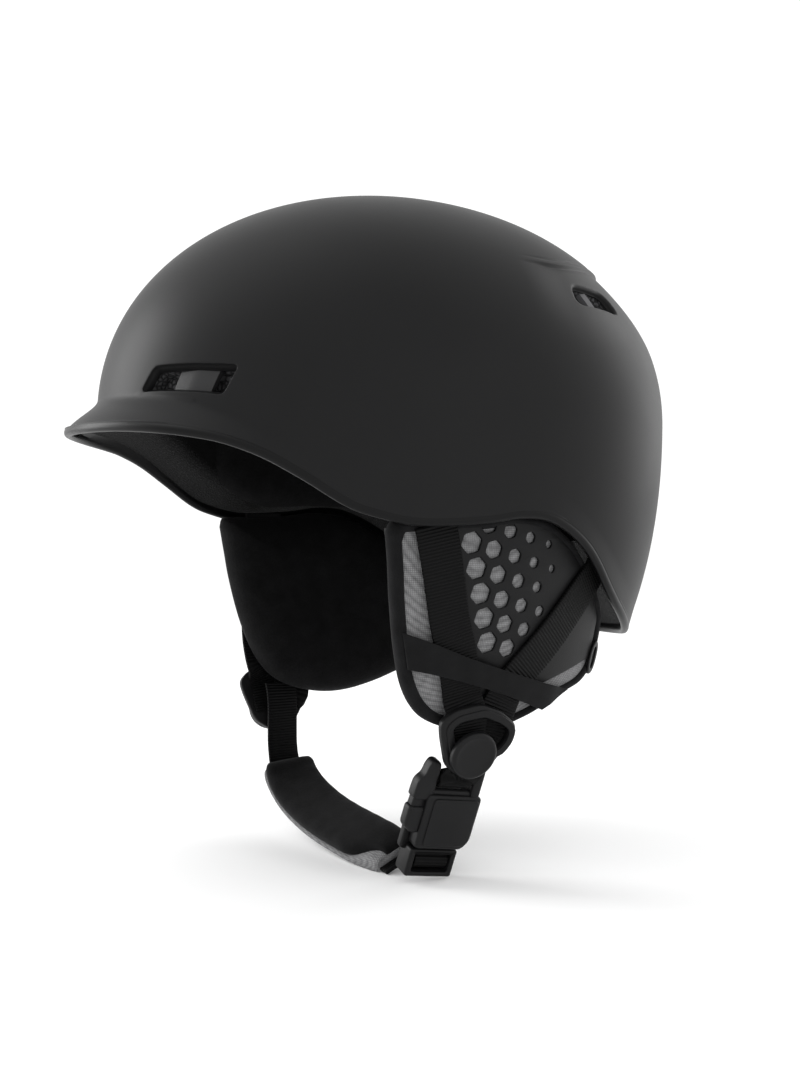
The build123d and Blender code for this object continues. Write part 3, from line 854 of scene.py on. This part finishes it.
# ---- comfort pads ----------------------------------------------------------------------------
PAD_RISE = 7.0
PAD_COLUMNS = 57
PAD_ROWS = 33
PAD_BACK_GAP = 0.2
SEAM_WIDTH = 0.035


def cavity_pad(name, azimuth, elevation, node, rise=PAD_RISE, channels=0, taper_low=0.0):
    """A crowned pad on the foam cavity, over a range of azimuth and elevation in degrees.

    taper_low narrows it towards its lower edge, and channels are its sewn lines.
    """
    across = PAD_COLUMNS
    up = PAD_ROWS
    u = np.linspace(-1, 1, across)
    v = np.linspace(-1, 1, up)
    turn = np.radians(azimuth[0] + (azimuth[1] - azimuth[0]) * (u[None, :] + 1) / 2)
    lift = np.radians(elevation[0] + (elevation[1] - elevation[0]) * (v[:, None] + 1) / 2)
    pull = (1 - 0.06 * np.abs(v[:, None]) ** 4) * (1 - taper_low * np.maximum(-v[:, None], 0) ** 3)
    middle = np.radians(sum(azimuth) / 2)
    turn = middle + (turn - middle) * pull
    lift = np.broadcast_to(lift, turn.shape)
    crown = (1 - np.abs(u[None, :]) ** 6) ** 0.5 * (1 - np.abs(v[:, None]) ** 5) ** 0.5
    lines = np.linspace(-1, 1, channels + 2)[1:-1]
    sewn = sum((np.exp(-((u[None, :] - c) / SEAM_WIDTH) ** 2) for c in lines), np.zeros((1, across)))
    seam = 1 - 0.35 * sewn
    lumps = 1 + 0.05 * np.sin(turn * 23 + lift * 9) * np.cos(lift * 21)
    ways = direction(turn, lift)
    outer = dome(ways, cavity_inset + PAD_BACK_GAP, flared=False)
    height = (rise * crown * seam * lumps + 0.15)[..., None]
    inner = outer - ways * height
    points = np.vstack([inner.reshape(-1, 3), outer.reshape(-1, 3)])
    count = across * up
    faces = []
    for i in range(up - 1):
        for j in range(across - 1):
            a = i * across + j
            faces.append([a, a + 1, a + across + 1, a + across])
            faces.append([count + a, count + a + across, count + a + across + 1, count + a + 1])
    rim = ([(0, j) for j in range(across)] + [(i, across - 1) for i in range(1, up)]
           + [(up - 1, j) for j in range(across - 2, -1, -1)] + [(i, 0) for i in range(up - 2, 0, -1)])
    for (i, j), (k, m) in zip(rim, rim[1:] + rim[:1]):
        a = i * across + j
        b = k * across + m
        faces.append([b, a, count + a, count + b])
    made = make_object(name, points, faces, pad_finish, "helmet", [node], sharp=70)


cavity_pad("brow_comfort", (-50, 50), (3, 16), "brow_pad", channels=3)
cavity_pad("crown_comfort", (-178, 178), (62, 84), "crown_pad", channels=7, rise=6.0)
cavity_pad("left_temple_comfort", (50, 130), (-25, 8), "left_temple_pad", taper_low=0.5)
cavity_pad("right_temple_comfort", (-130, -50), (-25, 8), "right_temple_pad", taper_low=0.5)

# ---- nape cradle -----------------------------------------------------------------------------


def nape_band(low, high, half_turn, inset, wall, fold):
    """A curved band behind the head, from low to high in height."""
    turns = np.radians(np.linspace(180 - half_turn, 180 + half_turn, 49))
    rings = []
    for k, turn in enumerate(turns):
        end = abs(2 * k / 48 - 1)
        squeeze = 1 - 0.35 * end ** 6
        section = []
        for angle in np.linspace(0, 2 * math.pi, 20, endpoint=False):
            tall = np.sign(math.sin(angle)) * abs(math.sin(angle)) ** 0.5
            deep = np.sign(math.cos(angle)) * abs(math.cos(angle)) ** 0.7
            height = (low + high) / 2 + tall * (high - low) / 2 * squeeze + fold * end ** 2
            section.append((height, inset + wall / 2 - deep * wall / 2 * squeeze))
        ring = []
        for height, depth in section:
            level = math.atan2(height - CENTRE[2], 105.0 - depth)
            for _ in range(8):
                p = dome(direction(np.array(turn), np.array(level)), depth, flared=False)
                level += (height - p[2]) / 110.0
            ring.append(p)
        rings.append(ring)
    return tube(rings)


points, faces = nape_band(-25, -3, 22, cavity_inset + 0.3, 2.0, 2.0)
make_object("nape_cradle_band", points, faces, cradle_finish, "helmet", ["nape_cradle"], sharp=50)
points, faces = nape_band(-22, -6, 20, cavity_inset + 2.6, 5.0, 2.0)
pad = make_object("nape_comfort", points, faces, pad_finish, "helmet", ["nape_pad"], sharp=70)

# ---- ear pads --------------------------------------------------------------------------------
EAR_WIDTH = 95.0
EAR_MIDDLE_Y = 2.0
EAR_FRONT_SPAN = 131.0
EAR_REAR_SPAN = 110.0
EAR_SLOPE = 0.12
EAR_BOW = 0.0018
PAD_OUTLINE = [(-41.5, -1.5), (-39.8, -14), (-38, -28), (-34, -48), (-28.5, -64), (-20.4, -75),
               (-9, -81), (5, -84), (19, -83.5), (34.5, -79.5), (52, -72.5), (68, -68), (76, -60),
               (78, -48), (76.5, -38.5)]
PAD_TOP = [(66.5, -26.6), (55.8, -16.0), (46, -7.3), (36.8, -1.3), (27, 3.1), (11.4, 5.1),
           (-7, 3.6), (-33, 3.0), (-40.5, 2.6)]
PAD_MIDDLE = np.array([19.0, -42.0])
# Section from the middle of the outer face over the binding to the inner face, as (share of the
# outline, offset).
PAD_SECTION = [(0.0, -3.4), (0.4, -3.4), (0.8, -3.4), (0.885, -3.3), (0.9, -2.2), (0.91, -0.9),
               (0.925, 0.0), (0.945, 0.55), (0.965, 0.5), (0.985, -0.2), (0.996, -1.2), (1.0, -2.4),
               (0.998, -3.8), (0.988, -5.6),
               (0.968, -8.0), (0.935, -10.6), (0.885, -13.2), (0.81, -15.6), (0.71, -17.5), (0.57, -18.8),
               (0.37, -19.6), (0.17, -19.8), (0.0, -19.8)]
BINDING = range(3, 12)


def cheek(points):
    """Places (rearwards, up, offset) points on the left ear pad's outer face."""
    p = np.asarray(points, float)
    y, z, offset = p[..., 0], p[..., 1], p[..., 2]
    span = np.where(y < EAR_MIDDLE_Y, EAR_FRONT_SPAN, EAR_REAR_SPAN)
    share = (y - EAR_MIDDLE_Y) / span
    x = EAR_WIDTH * np.sqrt(1 - share * share) + EAR_SLOPE * z - EAR_BOW * z * z
    return np.stack([x + offset, y, z], axis=-1)


def pad_body():
    """The padded ear pad with its rolled binding, as points, faces and shades."""
    curve = smooth_line(PAD_OUTLINE, 10)
    outline = respaced(np.vstack([curve, smooth_line(PAD_TOP, 8)]), 220, closed=True)
    rings = []
    for share, offset in PAD_SECTION[1:-1]:
        flat = PAD_MIDDLE + (outline - PAD_MIDDLE) * share
        inner = max(0.0, -offset - 10) / 10
        ripple = 0.35 * inner * (np.sin(flat[:, 0] * 0.21) * np.cos(flat[:, 1] * 0.17)
                                 + 0.6 * np.sin(flat[:, 0] * 0.09 + flat[:, 1] * 0.14))
        rings.append(cheek(np.column_stack([flat, offset + ripple])))
    points, faces = tube(rings, capped=False)
    points = list(points)
    around = len(outline)
    shades = []
    for k in range(len(rings) - 1):
        shades += [1 if k + 1 in BINDING else 0] * around
    for ring, section in ((0, PAD_SECTION[0]), (len(rings) - 1, PAD_SECTION[-1])):
        points.append(cheek(np.array([*PAD_MIDDLE, section[1]])))
        for i in range(around):
            faces.append([ring * around + i, ring * around + (i + 1) % around, len(points) - 1])
            shades.append(0)
    return np.array(points), faces, shades


def on_cheek(data):
    points, faces = data
    return cheek(points), faces


def strap_outline(first, second):
    """A strap's outline in the side view from its two edges."""
    return np.vstack([smooth_line(first, 6), smooth_line(second, 6)[::-1]])


PANEL_OUTLINE = [(-15.0, 2.2), (-6, -36), (1, -55), (6, -71), (38.6, -65.6), (70, -57.5), (71.5, -40.5),
                 (64.4, -28.8), (54.9, -18.9), (44.9, -10.2), (36.2, -4.0), (26.4, 0.7), (11.2, 3.2),
                 (-7, 2.4)]
BAND_TOP = [(-33.2, -40.7), (-19.7, -45.8), (-1.1, -53.1), (30.4, -63.3), (56.3, -70.4)]
BAND_BOTTOM = [(-29.6, -55.7), (-15.5, -59), (2.5, -64.2), (18.4, -69.6), (38.7, -77.3)]
FRONT_STRAP_LINE = [(-24.2, 1.4), (-19.4, -18), (-14.8, -36), (-9.8, -49.5), (-5.5, -62.8), (-3.2, -71.5)]
REAR_STRAP_LINE = [(61.2, -18.6), (58.0, -22.6), (49.3, -31.5), (35.6, -46.6), (22.4, -60.6), (13.6, -72.5)]
HEX_START = (-7.6, -5.8)
HEX_ACROSS = (10.2, -2.8)
HEX_DOWN = (3.0, -10.1)
HEX_ROWS = [(0, 5), (-1, 5), (-1, 4), (-1, 3), (-1, 1)]
HEX_RADIUS = 4.7
HEX_SHRINK = 0.72
HEX_TURN = math.radians(15)
HOLE_CEILING = 1.7
PORT_AT = np.array([73.0, -58.0])
LEFT_DIVIDER_Y = 4.0
RIGHT_SHIFT = -26.0
RIGHT_PAD_SHIFT = -6.0


def hexagons():
    """The panel's holes, smaller towards the rear."""
    holes = []
    for column, (first, last) in enumerate(HEX_ROWS):
        for row in range(first, last):
            y = HEX_START[0] + column * HEX_ACROSS[0] + row * HEX_DOWN[0]
            z = HEX_START[1] + column * HEX_ACROSS[1] + row * HEX_DOWN[1]
            radius = HEX_RADIUS - HEX_SHRINK * column
            corners = [(y + radius * math.cos(HEX_TURN + k * math.pi / 3),
                        z + radius * math.sin(HEX_TURN + k * math.pi / 3)) for k in range(6)]
            hole = rounded_corners(corners, 0.7, 3)
            hole[:, 1] = np.minimum(hole[:, 1], HOLE_CEILING - 0.02 * np.arange(len(hole)))
            holes.append(hole)
    return holes


def oval(middle, length, width, lean, count=40):
    """A rounded slot's outline."""
    turns = np.linspace(0, 2 * math.pi, count, endpoint=False)
    along = np.sign(np.cos(turns)) * np.abs(np.cos(turns)) ** 0.8 * length / 2
    side = np.sin(turns) * width / 2
    lean = math.radians(lean)
    return middle + np.column_stack([along * math.cos(lean) - side * math.sin(lean),
                                     along * math.sin(lean) + side * math.cos(lean)])


pad_points, pad_faces, pad_shades = pad_body()
core = respaced(np.vstack([smooth_line(PAD_OUTLINE, 10), smooth_line(PAD_TOP, 8)]), 160, closed=True)
core = PAD_MIDDLE + (core - PAD_MIDDLE) * 0.915
mesh_sheet = slab(core, -1.5, -3.0, edge=0.5, grid=6.0)
panel_sheet = slab(rounded_corners(PANEL_OUTLINE, 1.6, 4), 0.0, -1.45, holes=hexagons(), edge=0.45,
                   grid=6.0)
band_sheet = slab(strap_outline(BAND_TOP, BAND_BOTTOM), 3.5, 2.6, edge=0.4, grid=4.0)
# The band's ends come down to the pad, where they are sewn in.
band_sheet[0][:, 2] -= 2.4 * (1 - ease((band_sheet[0][:, 0] + 34.5) / 9))
band_sheet[0][:, 2] -= 2.4 * ease((band_sheet[0][:, 0] - 42) / 10)
port_sheet = slab(oval(PORT_AT, 15, 7.5, 84), 1.6, -1.0, holes=[oval(PORT_AT, 9.5, 2.8, 84)], edge=0.9)


STRAP_STEPS = 70
TURN_AT = -68.0


def cheek_facing(points):
    """Outward directions of the ear pad's face, turning to the divider's below the pad."""
    p = np.asarray(points, float)
    step = 0.5
    flat = np.column_stack([p[:, 1], p[:, 2], np.zeros(len(p))])
    across = cheek(flat + [step, 0, 0]) - cheek(flat - [step, 0, 0])
    up = cheek(flat + [0, step, 0]) - cheek(flat - [0, step, 0])
    facing = unit(np.cross(across, up))
    share = ease((TURN_AT - p[:, 2]) / 8)[:, None]
    return unit(facing * (1 - share) + np.array([0.951, 0.0, -0.309]) * share)


def cheek_strap(line, shift, lead, width):
    """Webbing over the ear pad, then into the divider's window at lead."""
    flat = smooth_line(line, 8).copy()
    flat[:, 0] += shift * ease((-10 - flat[:, 1]) / 62)
    path = cheek(np.column_stack([flat, np.full(len(flat), 1.15)]))
    path = respaced(np.vstack([path[:-4], smooth_line(np.vstack([path[-4], *lead]), 6)]), STRAP_STEPS)
    facing = cheek_facing(path)
    for _ in range(6):
        facing = unit(facing + np.vstack([facing[:1], facing[:-1]])
                      + np.vstack([facing[1:], facing[-1:]]))
    return ribbon(path, np.cross(facing, unit(np.gradient(path, axis=0))), width, WEBBING_WALL)


def divider_place(points, y):
    """Places (rearwards, up, height) points in the left divider's plane."""
    p = np.asarray(points, float)
    tilt = math.radians(18.0)
    back = np.array([0.0, 1.0, 0.0])
    out = np.array([math.cos(tilt), 0, -math.sin(tilt)])
    up = np.cross(out, back)
    return np.array([77.0, y, -86.0]) + p[..., :1] * back + p[..., 1:2] * up + p[..., 2:3] * out


RING_OUTLINE = [(-18.3, 8.6), (-13, 13.6), (-1, 15.9), (9.8, 11.8), (17, 5.9), (17.8, 2.5),
                (11.4, -8.6), (5.3, -17.2), (-4, -17.4), (-12.6, -11.4), (-17.1, 2.4)]
WINDOW = [(-12.8, 6.3), (-9.5, 8.9), (1, 10.7), (10, 6.8), (14.2, 3.4), (13.6, -1), (10.6, -5.2),
          (-9.2, -4.6)]
LOCK_AT = np.array([-2.6, -5.2])
LOCK_RADIUS = 10.3


def divider_shape():
    """The divider ring, its window rimmed, in its own plane."""
    outer = rounded_corners(RING_OUTLINE, 3.0, 5)
    window = rounded_corners(WINDOW, 1.8, 4)
    base = slab(outer, 2.0, -1.5, holes=[window], edge=1.3, back_edge=0.6, steps=4)
    raised = slab(grown(turned_left(window), 3.1), 2.6, 1.6, holes=[window], edge=0.5)
    return joined(base, raised)


def lock_shape():
    """The round lock: a bevelled disc with a shallow dish and a thumb lip."""
    turns = np.linspace(0, 2 * math.pi, 72, endpoint=False)
    section = [(0.97, 3.05), (1.0, 3.4), (1.0, 5.0), (0.985, 5.5), (0.94, 5.95), (0.88, 6.2),
               (0.82, 6.2), (0.79, 6.1), (0.6, 6.0), (0.3, 5.95)]
    rings = []
    for share, height in section:
        r = LOCK_RADIUS * share
        rings.append(np.column_stack([LOCK_AT[0] + r * np.cos(turns), LOCK_AT[1] + r * np.sin(turns),
                                      np.full(72, height)]))
    return tube(rings)


def piece(name, data, finish, body, slot, nodes=(), uv=None, shades=None, sharp=38, side=1, shift=0.0):
    """make_object on either side, moved by shift along the helmet, rearwards if positive."""
    points, faces = data
    points = np.array(points, float) + np.array([0, shift, 0])
    if side < 0:
        points, faces = mirrored((points, faces))
    return make_object(name, points, faces, finish, body, nodes, uv, shades, sharp)


for side, label, divider_shift in ((1, "left", 0.0), (-1, "right", RIGHT_SHIFT)):
    flap = label + "_flap"
    divider_y = LEFT_DIVIDER_Y + divider_shift
    tail_end = -4.5 if side > 0 else -0.5
    pad_shift = 0.0 if side > 0 else RIGHT_PAD_SHIFT
    place = {"side": side, "shift": pad_shift}
    cushion = piece(label + "_ear_cushion", (pad_points, pad_faces), [fleece_finish, binding_finish],
                    flap, "fleece", [label + "_ear_pad_foam", label + "_ear_pad_lining"],
                    shades=pad_shades, sharp=70, **place)
    piece(label + "_ear_mesh", on_cheek(mesh_sheet), mesh_finish, flap, "mesh",
          [label + "_ear_pad_mesh"], **place)
    piece(label + "_ear_shield", on_cheek(panel_sheet), panel_finish, flap, "panel",
          [label + "_ear_panel"], **place)
    piece(label + "_elastic_band", on_cheek(band_sheet), elastic_finish, flap, "elastic",
          [label + "_ear_pad_band"], uv=[(p[1] * 0.32 + p[0] * 0.95, p[1]) for p in band_sheet[0]], **place)
    piece(label + "_port", on_cheek(port_sheet), hardware_finish, flap, "hardware",
          [label + "_cable_port"], **place)
    leads = {
        "front": divider_place([[-5.2, 9.5, -0.4], [-4.2, 2, -0.9], [-3.4, -7, -1.9]], divider_y),
        "rear": divider_place([[8.8, 8.0, -2.6], [7.6, 1.5, -2.9], [5.6, tail_end, -3.3]], divider_y),
    }
    for strap, line, width in (("front", FRONT_STRAP_LINE, 16.8), ("rear", REAR_STRAP_LINE, 18.2)):
        moved = [(a + pad_shift, b) for a, b in line]
        points, faces, uv = cheek_strap(moved, divider_shift - pad_shift, leads[strap], width)
        nodes = [f"{label}_{strap}_strap"] + ([label + "_strap_junction"] if strap == "front" else [])
        piece(f"{label}_{strap}_webbing", (points, faces), webbing_finish, flap, "webbing", nodes,
              uv=uv, side=side)
    ring_points, ring_faces = divider_shape()
    piece(label + "_divider", (divider_place(ring_points, divider_y), ring_faces), hardware_finish,
          flap, "hardware", [label + "_strap_divider"], side=side)
    disc_points, disc_faces = lock_shape()
    piece(label + "_lock_disc", (divider_place(disc_points, divider_y), disc_faces), lock_finish,
          label + "_lock", "hardware", [label + "_divider_lock"], side=side)

# ---- magnetic buckle -------------------------------------------------------------------------
BUCKLE_AT = np.array([66.0, -1.0, -115.5])
BUCKLE_TILT = math.radians(16.0)
BUCKLE_TURN = math.radians(9.0)
BUCKLE_OUT = np.array([math.cos(BUCKLE_TILT), 0, -math.sin(BUCKLE_TILT)])
BUCKLE_BACK = np.array([-math.sin(BUCKLE_TURN) * math.sin(BUCKLE_TILT), math.cos(BUCKLE_TURN),
                        -math.sin(BUCKLE_TURN) * math.cos(BUCKLE_TILT)])
BUCKLE_UP = np.cross(BUCKLE_OUT, BUCKLE_BACK)


def in_buckle(points):
    """Places (rearwards, up, height) points in the buckle's frame."""
    p = np.asarray(points, float)
    return BUCKLE_AT + p[..., :1] * BUCKLE_BACK + p[..., 1:2] * BUCKLE_UP + p[..., 2:3] * BUCKLE_OUT


def block(corners, radius, top, bottom, edge=0.8, holes=()):
    """A moulded block in the buckle's frame."""
    return slab(rounded_corners(turned_left(corners), radius, 5), top, bottom, holes=holes, edge=edge,
                back_edge=min(edge, 0.6))


EAR_LEFT = [(-18.8, 1.6), (-9.6, 1.6), (-9.2, 15.4), (-10.0, 18.8), (-13.6, 19.2), (-15.2, 16.0),
            (-15.6, 12.6), (-18.4, 9.6)]
EAR_RIGHT = [(8.2, 3), (12.6, 3), (12.6, 15.6), (11.4, 18.3), (9.0, 18.3), (8.0, 16.0)]
BLOCK_CORNERS = [(-12, 4.5), (14, 4.5), (14, -16), (10.8, -20), (-12, -20)]
PANEL_CORNERS = [(-9, 3), (12.8, 3), (12.8, -15.5), (10.2, -18.2), (-9, -18.2)]
LUG_BRIDGE = [(-11, 2.4), (-17.6, 2.4), (-17.8, -2.4), (-11, -2.4)]
LOWER_LUG = [(-11, -1.6), (-18.8, -1.6), (-18.8, -10.6), (-15.2, -13.6), (-11, -13.6)]
socket_shape = joined(
    block(BLOCK_CORNERS, 2.2, 0.0, -6.5, 1.1),
    block(PANEL_CORNERS, 2.0, 0.75, -0.3, 0.5),
    block(EAR_LEFT, 2.0, -0.9, -6.5, 1.0),
    block(EAR_RIGHT, 1.6, -0.5, -6.5, 1.2),
    block([(-11.5, 3), (9.5, 3), (9.5, 6.6), (-11.5, 6.6)], 0.5, -1.5, -6.5, 1.6),
    block(LUG_BRIDGE, 0.6, -2.3, -6.5, 0.6),
    block(LOWER_LUG, 1.6, -1.2, -6.5, 1.5),
)
ROD_AT = (10.5, -2.9)
ROD_RADIUS = 1.4
rod_turns = np.linspace(0, 2 * math.pi, 24, endpoint=False)
rod_rings = [np.column_stack([np.full(24, w), ROD_AT[0] + ROD_RADIUS * np.cos(rod_turns),
                              ROD_AT[1] + ROD_RADIUS * np.sin(rod_turns)])
             for w in np.linspace(-11.6, 9.6, 4)]
socket_shape = joined(socket_shape, tube(rod_rings))
make_object("socket_half", in_buckle(socket_shape[0]), socket_shape[1], lock_finish, "left_flap",
            ["buckle_socket"])
LADDER = [(-12.4, -20.7), (10.5, -20.7), (10.5, -33.3), (-12.2, -33.3)]
LADDER_WINDOW = [(-9.4, -22.0), (8.2, -22.0), (8.2, -31.2), (-9.4, -31.2)]
slider_shape = joined(
    block([(-14.5, 2.5), (13, 2.5), (13, -23.5), (-14.5, -23.5)], 2.0, -7.0, -10.4, 0.7),
    block(LADDER, 1.4, -1.2, -10.4, 1.0, holes=[rounded_corners(LADDER_WINDOW, 0.9, 3)]),
    block([(-9.8, -25.8), (8.6, -25.8), (8.6, -27.6), (-9.8, -27.6)], 0.5, -3.4, -6.4, 0.5),
)
make_object("slider_half", in_buckle(slider_shape[0]), slider_shape[1], hardware_finish, "slider",
            ["buckle_slider"])

# The chin webbing's end, doubled round the slider's bar.
BAR_HEIGHT = -26.7
turns_at = [(-22.4, -9.6), (-23.2, -6.0), (-24.6, -3.4), (-26.7, -2.6), (-28.8, -3.4), (-30.4, -6.0),
            (-31.2, -9.6)]
for number, (drop, spread) in enumerate(((0.0, 1.0), (-1.9, 0.72))):
    bar_line = [(-0.6, BAR_HEIGHT + (up - BAR_HEIGHT) * spread, depth + drop) for up, depth in turns_at]
    bar_line = in_buckle(respaced(smooth_line(bar_line, 8), 50))
    points, faces, uv = ribbon(bar_line, BUCKLE_BACK, WEBBING_WIDTH, WEBBING_WALL)
    make_object("slider_webbing_" + str(number), points, faces, webbing_finish, "slider", uv=uv)

# Webbing from the left divider round the socket's rod and back.
divider_foot = divider_place([[-1.0, -9.0, -1.6]], LEFT_DIVIDER_Y)[0]
rod_middle = in_buckle([[-1.2, *ROD_AT]])[0]
loop = [divider_foot, divider_foot + np.array([-2.3, 0.2, -8.0])]
for angle in np.radians([40, 0, -45, -90, -135, -180, -220]):
    loop.append(rod_middle + BUCKLE_OUT * 2.4 * math.cos(angle) + BUCKLE_UP * 2.4 * math.sin(angle))
loop.append(divider_foot + np.array([-4.6, 0.2, -7.0]))
loop_line = respaced(smooth_line(loop, 8), 70)
points, faces, uv = ribbon(loop_line, BUCKLE_BACK, WEBBING_WIDTH - 0.5, WEBBING_WALL)
make_object("left_loop_webbing", points, faces, webbing_finish, "left_flap",
            ["left_buckle_strap"], uv=uv)

# ---- chin strap ------------------------------------------------------------------------------
CHIN_START = np.array([-68.0, -22.0])
CHIN_END = np.array([54.0, -8.0])
CHIN_ROUTE = [(0, -88), (-0.2, -99), (0.2, -110), (3, -119), (11, -126.3), (23, -132.5),
              (40, -137.5), (57, -140.2), (76, -142), (92, -143.5), (106, -145)]
CHIN_RUN = unit(CHIN_END - CHIN_START)
CHIN_ACROSS = np.array([CHIN_RUN[1], -CHIN_RUN[0], 0.0])
PAD_LEAN = 24.0


def chin_line(points, count):
    """The chin route in space, evenly spaced."""
    flat = respaced(smooth_line(points, 10), count)
    ground = CHIN_START + flat[:, :1] * CHIN_RUN
    return np.column_stack([ground, flat[:, 1]])


def chin_frames(line, lean):
    """Width and rising directions along the chin line, its front edge lean degrees lower under the chin."""
    along = unit(np.gradient(line, axis=0))
    across = np.broadcast_to(CHIN_ACROSS, line.shape)
    rise = unit(np.cross(along, across))
    rise = rise * np.sign(rise[:, 2:3] + rise[:, :1] * 0.8 + 1e-6)
    share = ease((-112 - line[:, 2]) / 22)[:, None]
    angle = np.radians(lean) * share
    return across * np.cos(angle) - rise * np.sin(angle), rise * np.cos(angle) + across * np.sin(angle)


webbing_line = chin_line(CHIN_ROUTE, 90)
top_lead = webbing_line[0] + np.array([[-3.5, 0.0, 9.0], [-1.2, 0.0, 4.5]])
webbing_line = respaced(smooth_line(np.vstack([top_lead, webbing_line[2::6], webbing_line[-1:]]), 8), 110)
across, rise = chin_frames(webbing_line, PAD_LEAN)
points, faces, uv = ribbon(webbing_line, across, WEBBING_WIDTH, WEBBING_WALL)
chin_web = make_object("chin_run_webbing", points, faces, webbing_finish, None,
                       ["chin_webbing"], uv=uv)
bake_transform(chin_web)


def chin_cushion(line, across, rise, low, high, half_width, power, taper_end, pucker, cut_back=0.0,
                 swell=0.0):
    """A soft closed band along the chin line.

    Near the buckle, cut_back narrows its front and swell thickens it.
    """
    rings = []
    count = len(line)
    for k in range(count):
        t = k / (count - 1)
        end = min(t / 0.05, (1 - t) / taper_end, 1.0)
        squeeze = math.sqrt(max(1 - (1 - end) ** 2, 0.02))
        ring = []
        for angle in np.linspace(0, 2 * math.pi, 36, endpoint=False):
            c, s = math.cos(angle), math.sin(angle)
            a = np.sign(c) * abs(c) ** power * half_width * (0.82 + 0.18 * squeeze)
            near_buckle = float(ease((t - 0.76) / 0.22))
            a *= 1 - (cut_back * near_buckle if c > 0 else 0.0)
            h = np.sign(s) * abs(s) ** 0.75
            height = (low + high) / 2 + h * (high - low) / 2 * squeeze
            height += swell * near_buckle * max(h, 0)
            height += pucker * max(s, 0) * math.sin(t * 61) * abs(c) ** 2
            ring.append(line[k] + across[k] * a + rise[k] * height)
        rings.append(ring)
    return tube(rings)


pad_line = chin_line(CHIN_ROUTE[3:-1] + [(101, -144.3)], 100)
across, rise = chin_frames(pad_line, PAD_LEAN)
points, faces = chin_cushion(pad_line, across, rise, 0.3, 8.8, 12.4, 0.5, 0.16, 0.25, cut_back=0.75)
chin_pad = make_object("chin_cushion", points, faces, fleece_finish, "chin_strap",
                       ["chin_pad"], sharp=70)
points, faces = chin_cushion(pad_line, across, rise, -2.2, 1.4, 12.3, 0.4, 0.1, 0.0, cut_back=0.15,
                             swell=4.0)
sleeve = make_object("chin_sleeve", points, faces, mesh_finish, "chin_strap",
                     ["chin_pad_sleeve"], sharp=70)

# ---- CAD pieces that keep their shape --------------------------------------------------------
magnet_finish = moulded("magnet_nickel", (0.55, 0.55, 0.57), 0.25, 0.8, 0.01, 0.05)
KEPT = {"strap_anchors": hardware_finish, "socket_magnet": magnet_finish, "slider_magnet": magnet_finish}
for node, finish in KEPT.items():
    kept = frame["nodes"][node]
    kept.data.materials.clear()
    kept.data.materials.append(finish)

# ---- floor, lights and camera ----------------------------------------------------------------
FLOOR_HALF_SPAN = 6.0
WORLD_STRENGTH = 1.12
# Each lamp as (name, place, target, width, height, power).
LAMPS = [
    ("key_top", (-0.1, -0.5, 1.1), (0, 0, 0.05), 0.9, 0.9, 1.4),
    ("front_rim", (-0.75, -0.9, 0.35), (0, -0.05, 0.05), 0.6, 0.9, 11),
    ("side_fill", (1.2, 0.3, 0.25), (0, 0, 0), 0.9, 0.7, 0.8),
    ("rear_rim", (-0.2, 1.2, 0.4), (0, 0.05, 0.05), 0.5, 0.9, 3),
]
CAMERA_AT = (0.5524, -0.2723, 0.0077)
CAMERA_TARGET = (0.00345, 0.0068, -0.00929)
CAMERA_LENS = 44.7


def area_light(name, place, target, width, height, power):
    """A soft rectangular lamp aimed at a point."""
    lamp = bpy.data.lights.new(name, "AREA")
    lamp.shape = "RECTANGLE"
    lamp.size = width
    lamp.size_y = height
    lamp.energy = power
    obj = bpy.data.objects.new(name, lamp)
    obj.location = place
    obj.rotation_euler = (Vector(target) - Vector(place)).to_track_quat("-Z", "Y").to_euler()
    bpy.context.scene.collection.objects.link(obj)


floor_mesh = bpy.data.meshes.new("studio_floor")
floor_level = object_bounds()[0][2]
corners = [(-1, -1), (1, -1), (1, 1), (-1, 1)]
floor_mesh.from_pydata([(x * FLOOR_HALF_SPAN, y * FLOOR_HALF_SPAN, floor_level) for x, y in corners], [],
                       [(0, 1, 2, 3)])
floor_finish = new_material("floor_white", (0.93, 0.93, 0.93), 0.9, specular=0.0)[0]
floor_mesh.materials.append(floor_finish)
floor = bpy.data.objects.new("studio_floor", floor_mesh)
bpy.context.scene.collection.objects.link(floor)

world = bpy.data.worlds.new("studio")
bpy.context.scene.world = world
world.use_nodes = True
world.node_tree.nodes["Background"].inputs["Color"].default_value = (1, 1, 1, 1)
world.node_tree.nodes["Background"].inputs["Strength"].default_value = WORLD_STRENGTH

for lamp in LAMPS:
    area_light(*lamp)

lens = bpy.data.cameras.new("camera")
lens.lens = CAMERA_LENS
lens.sensor_width = 36.0
lens.clip_start = 0.01
camera = bpy.data.objects.new("camera", lens)
camera.location = CAMERA_AT
camera.rotation_euler = (Vector(CAMERA_TARGET) - Vector(CAMERA_AT)).to_track_quat("-Z", "Y").to_euler()
bpy.context.scene.collection.objects.link(camera)
bpy.context.scene.camera = camera
bpy.context.scene.view_settings.view_transform = "Standard"
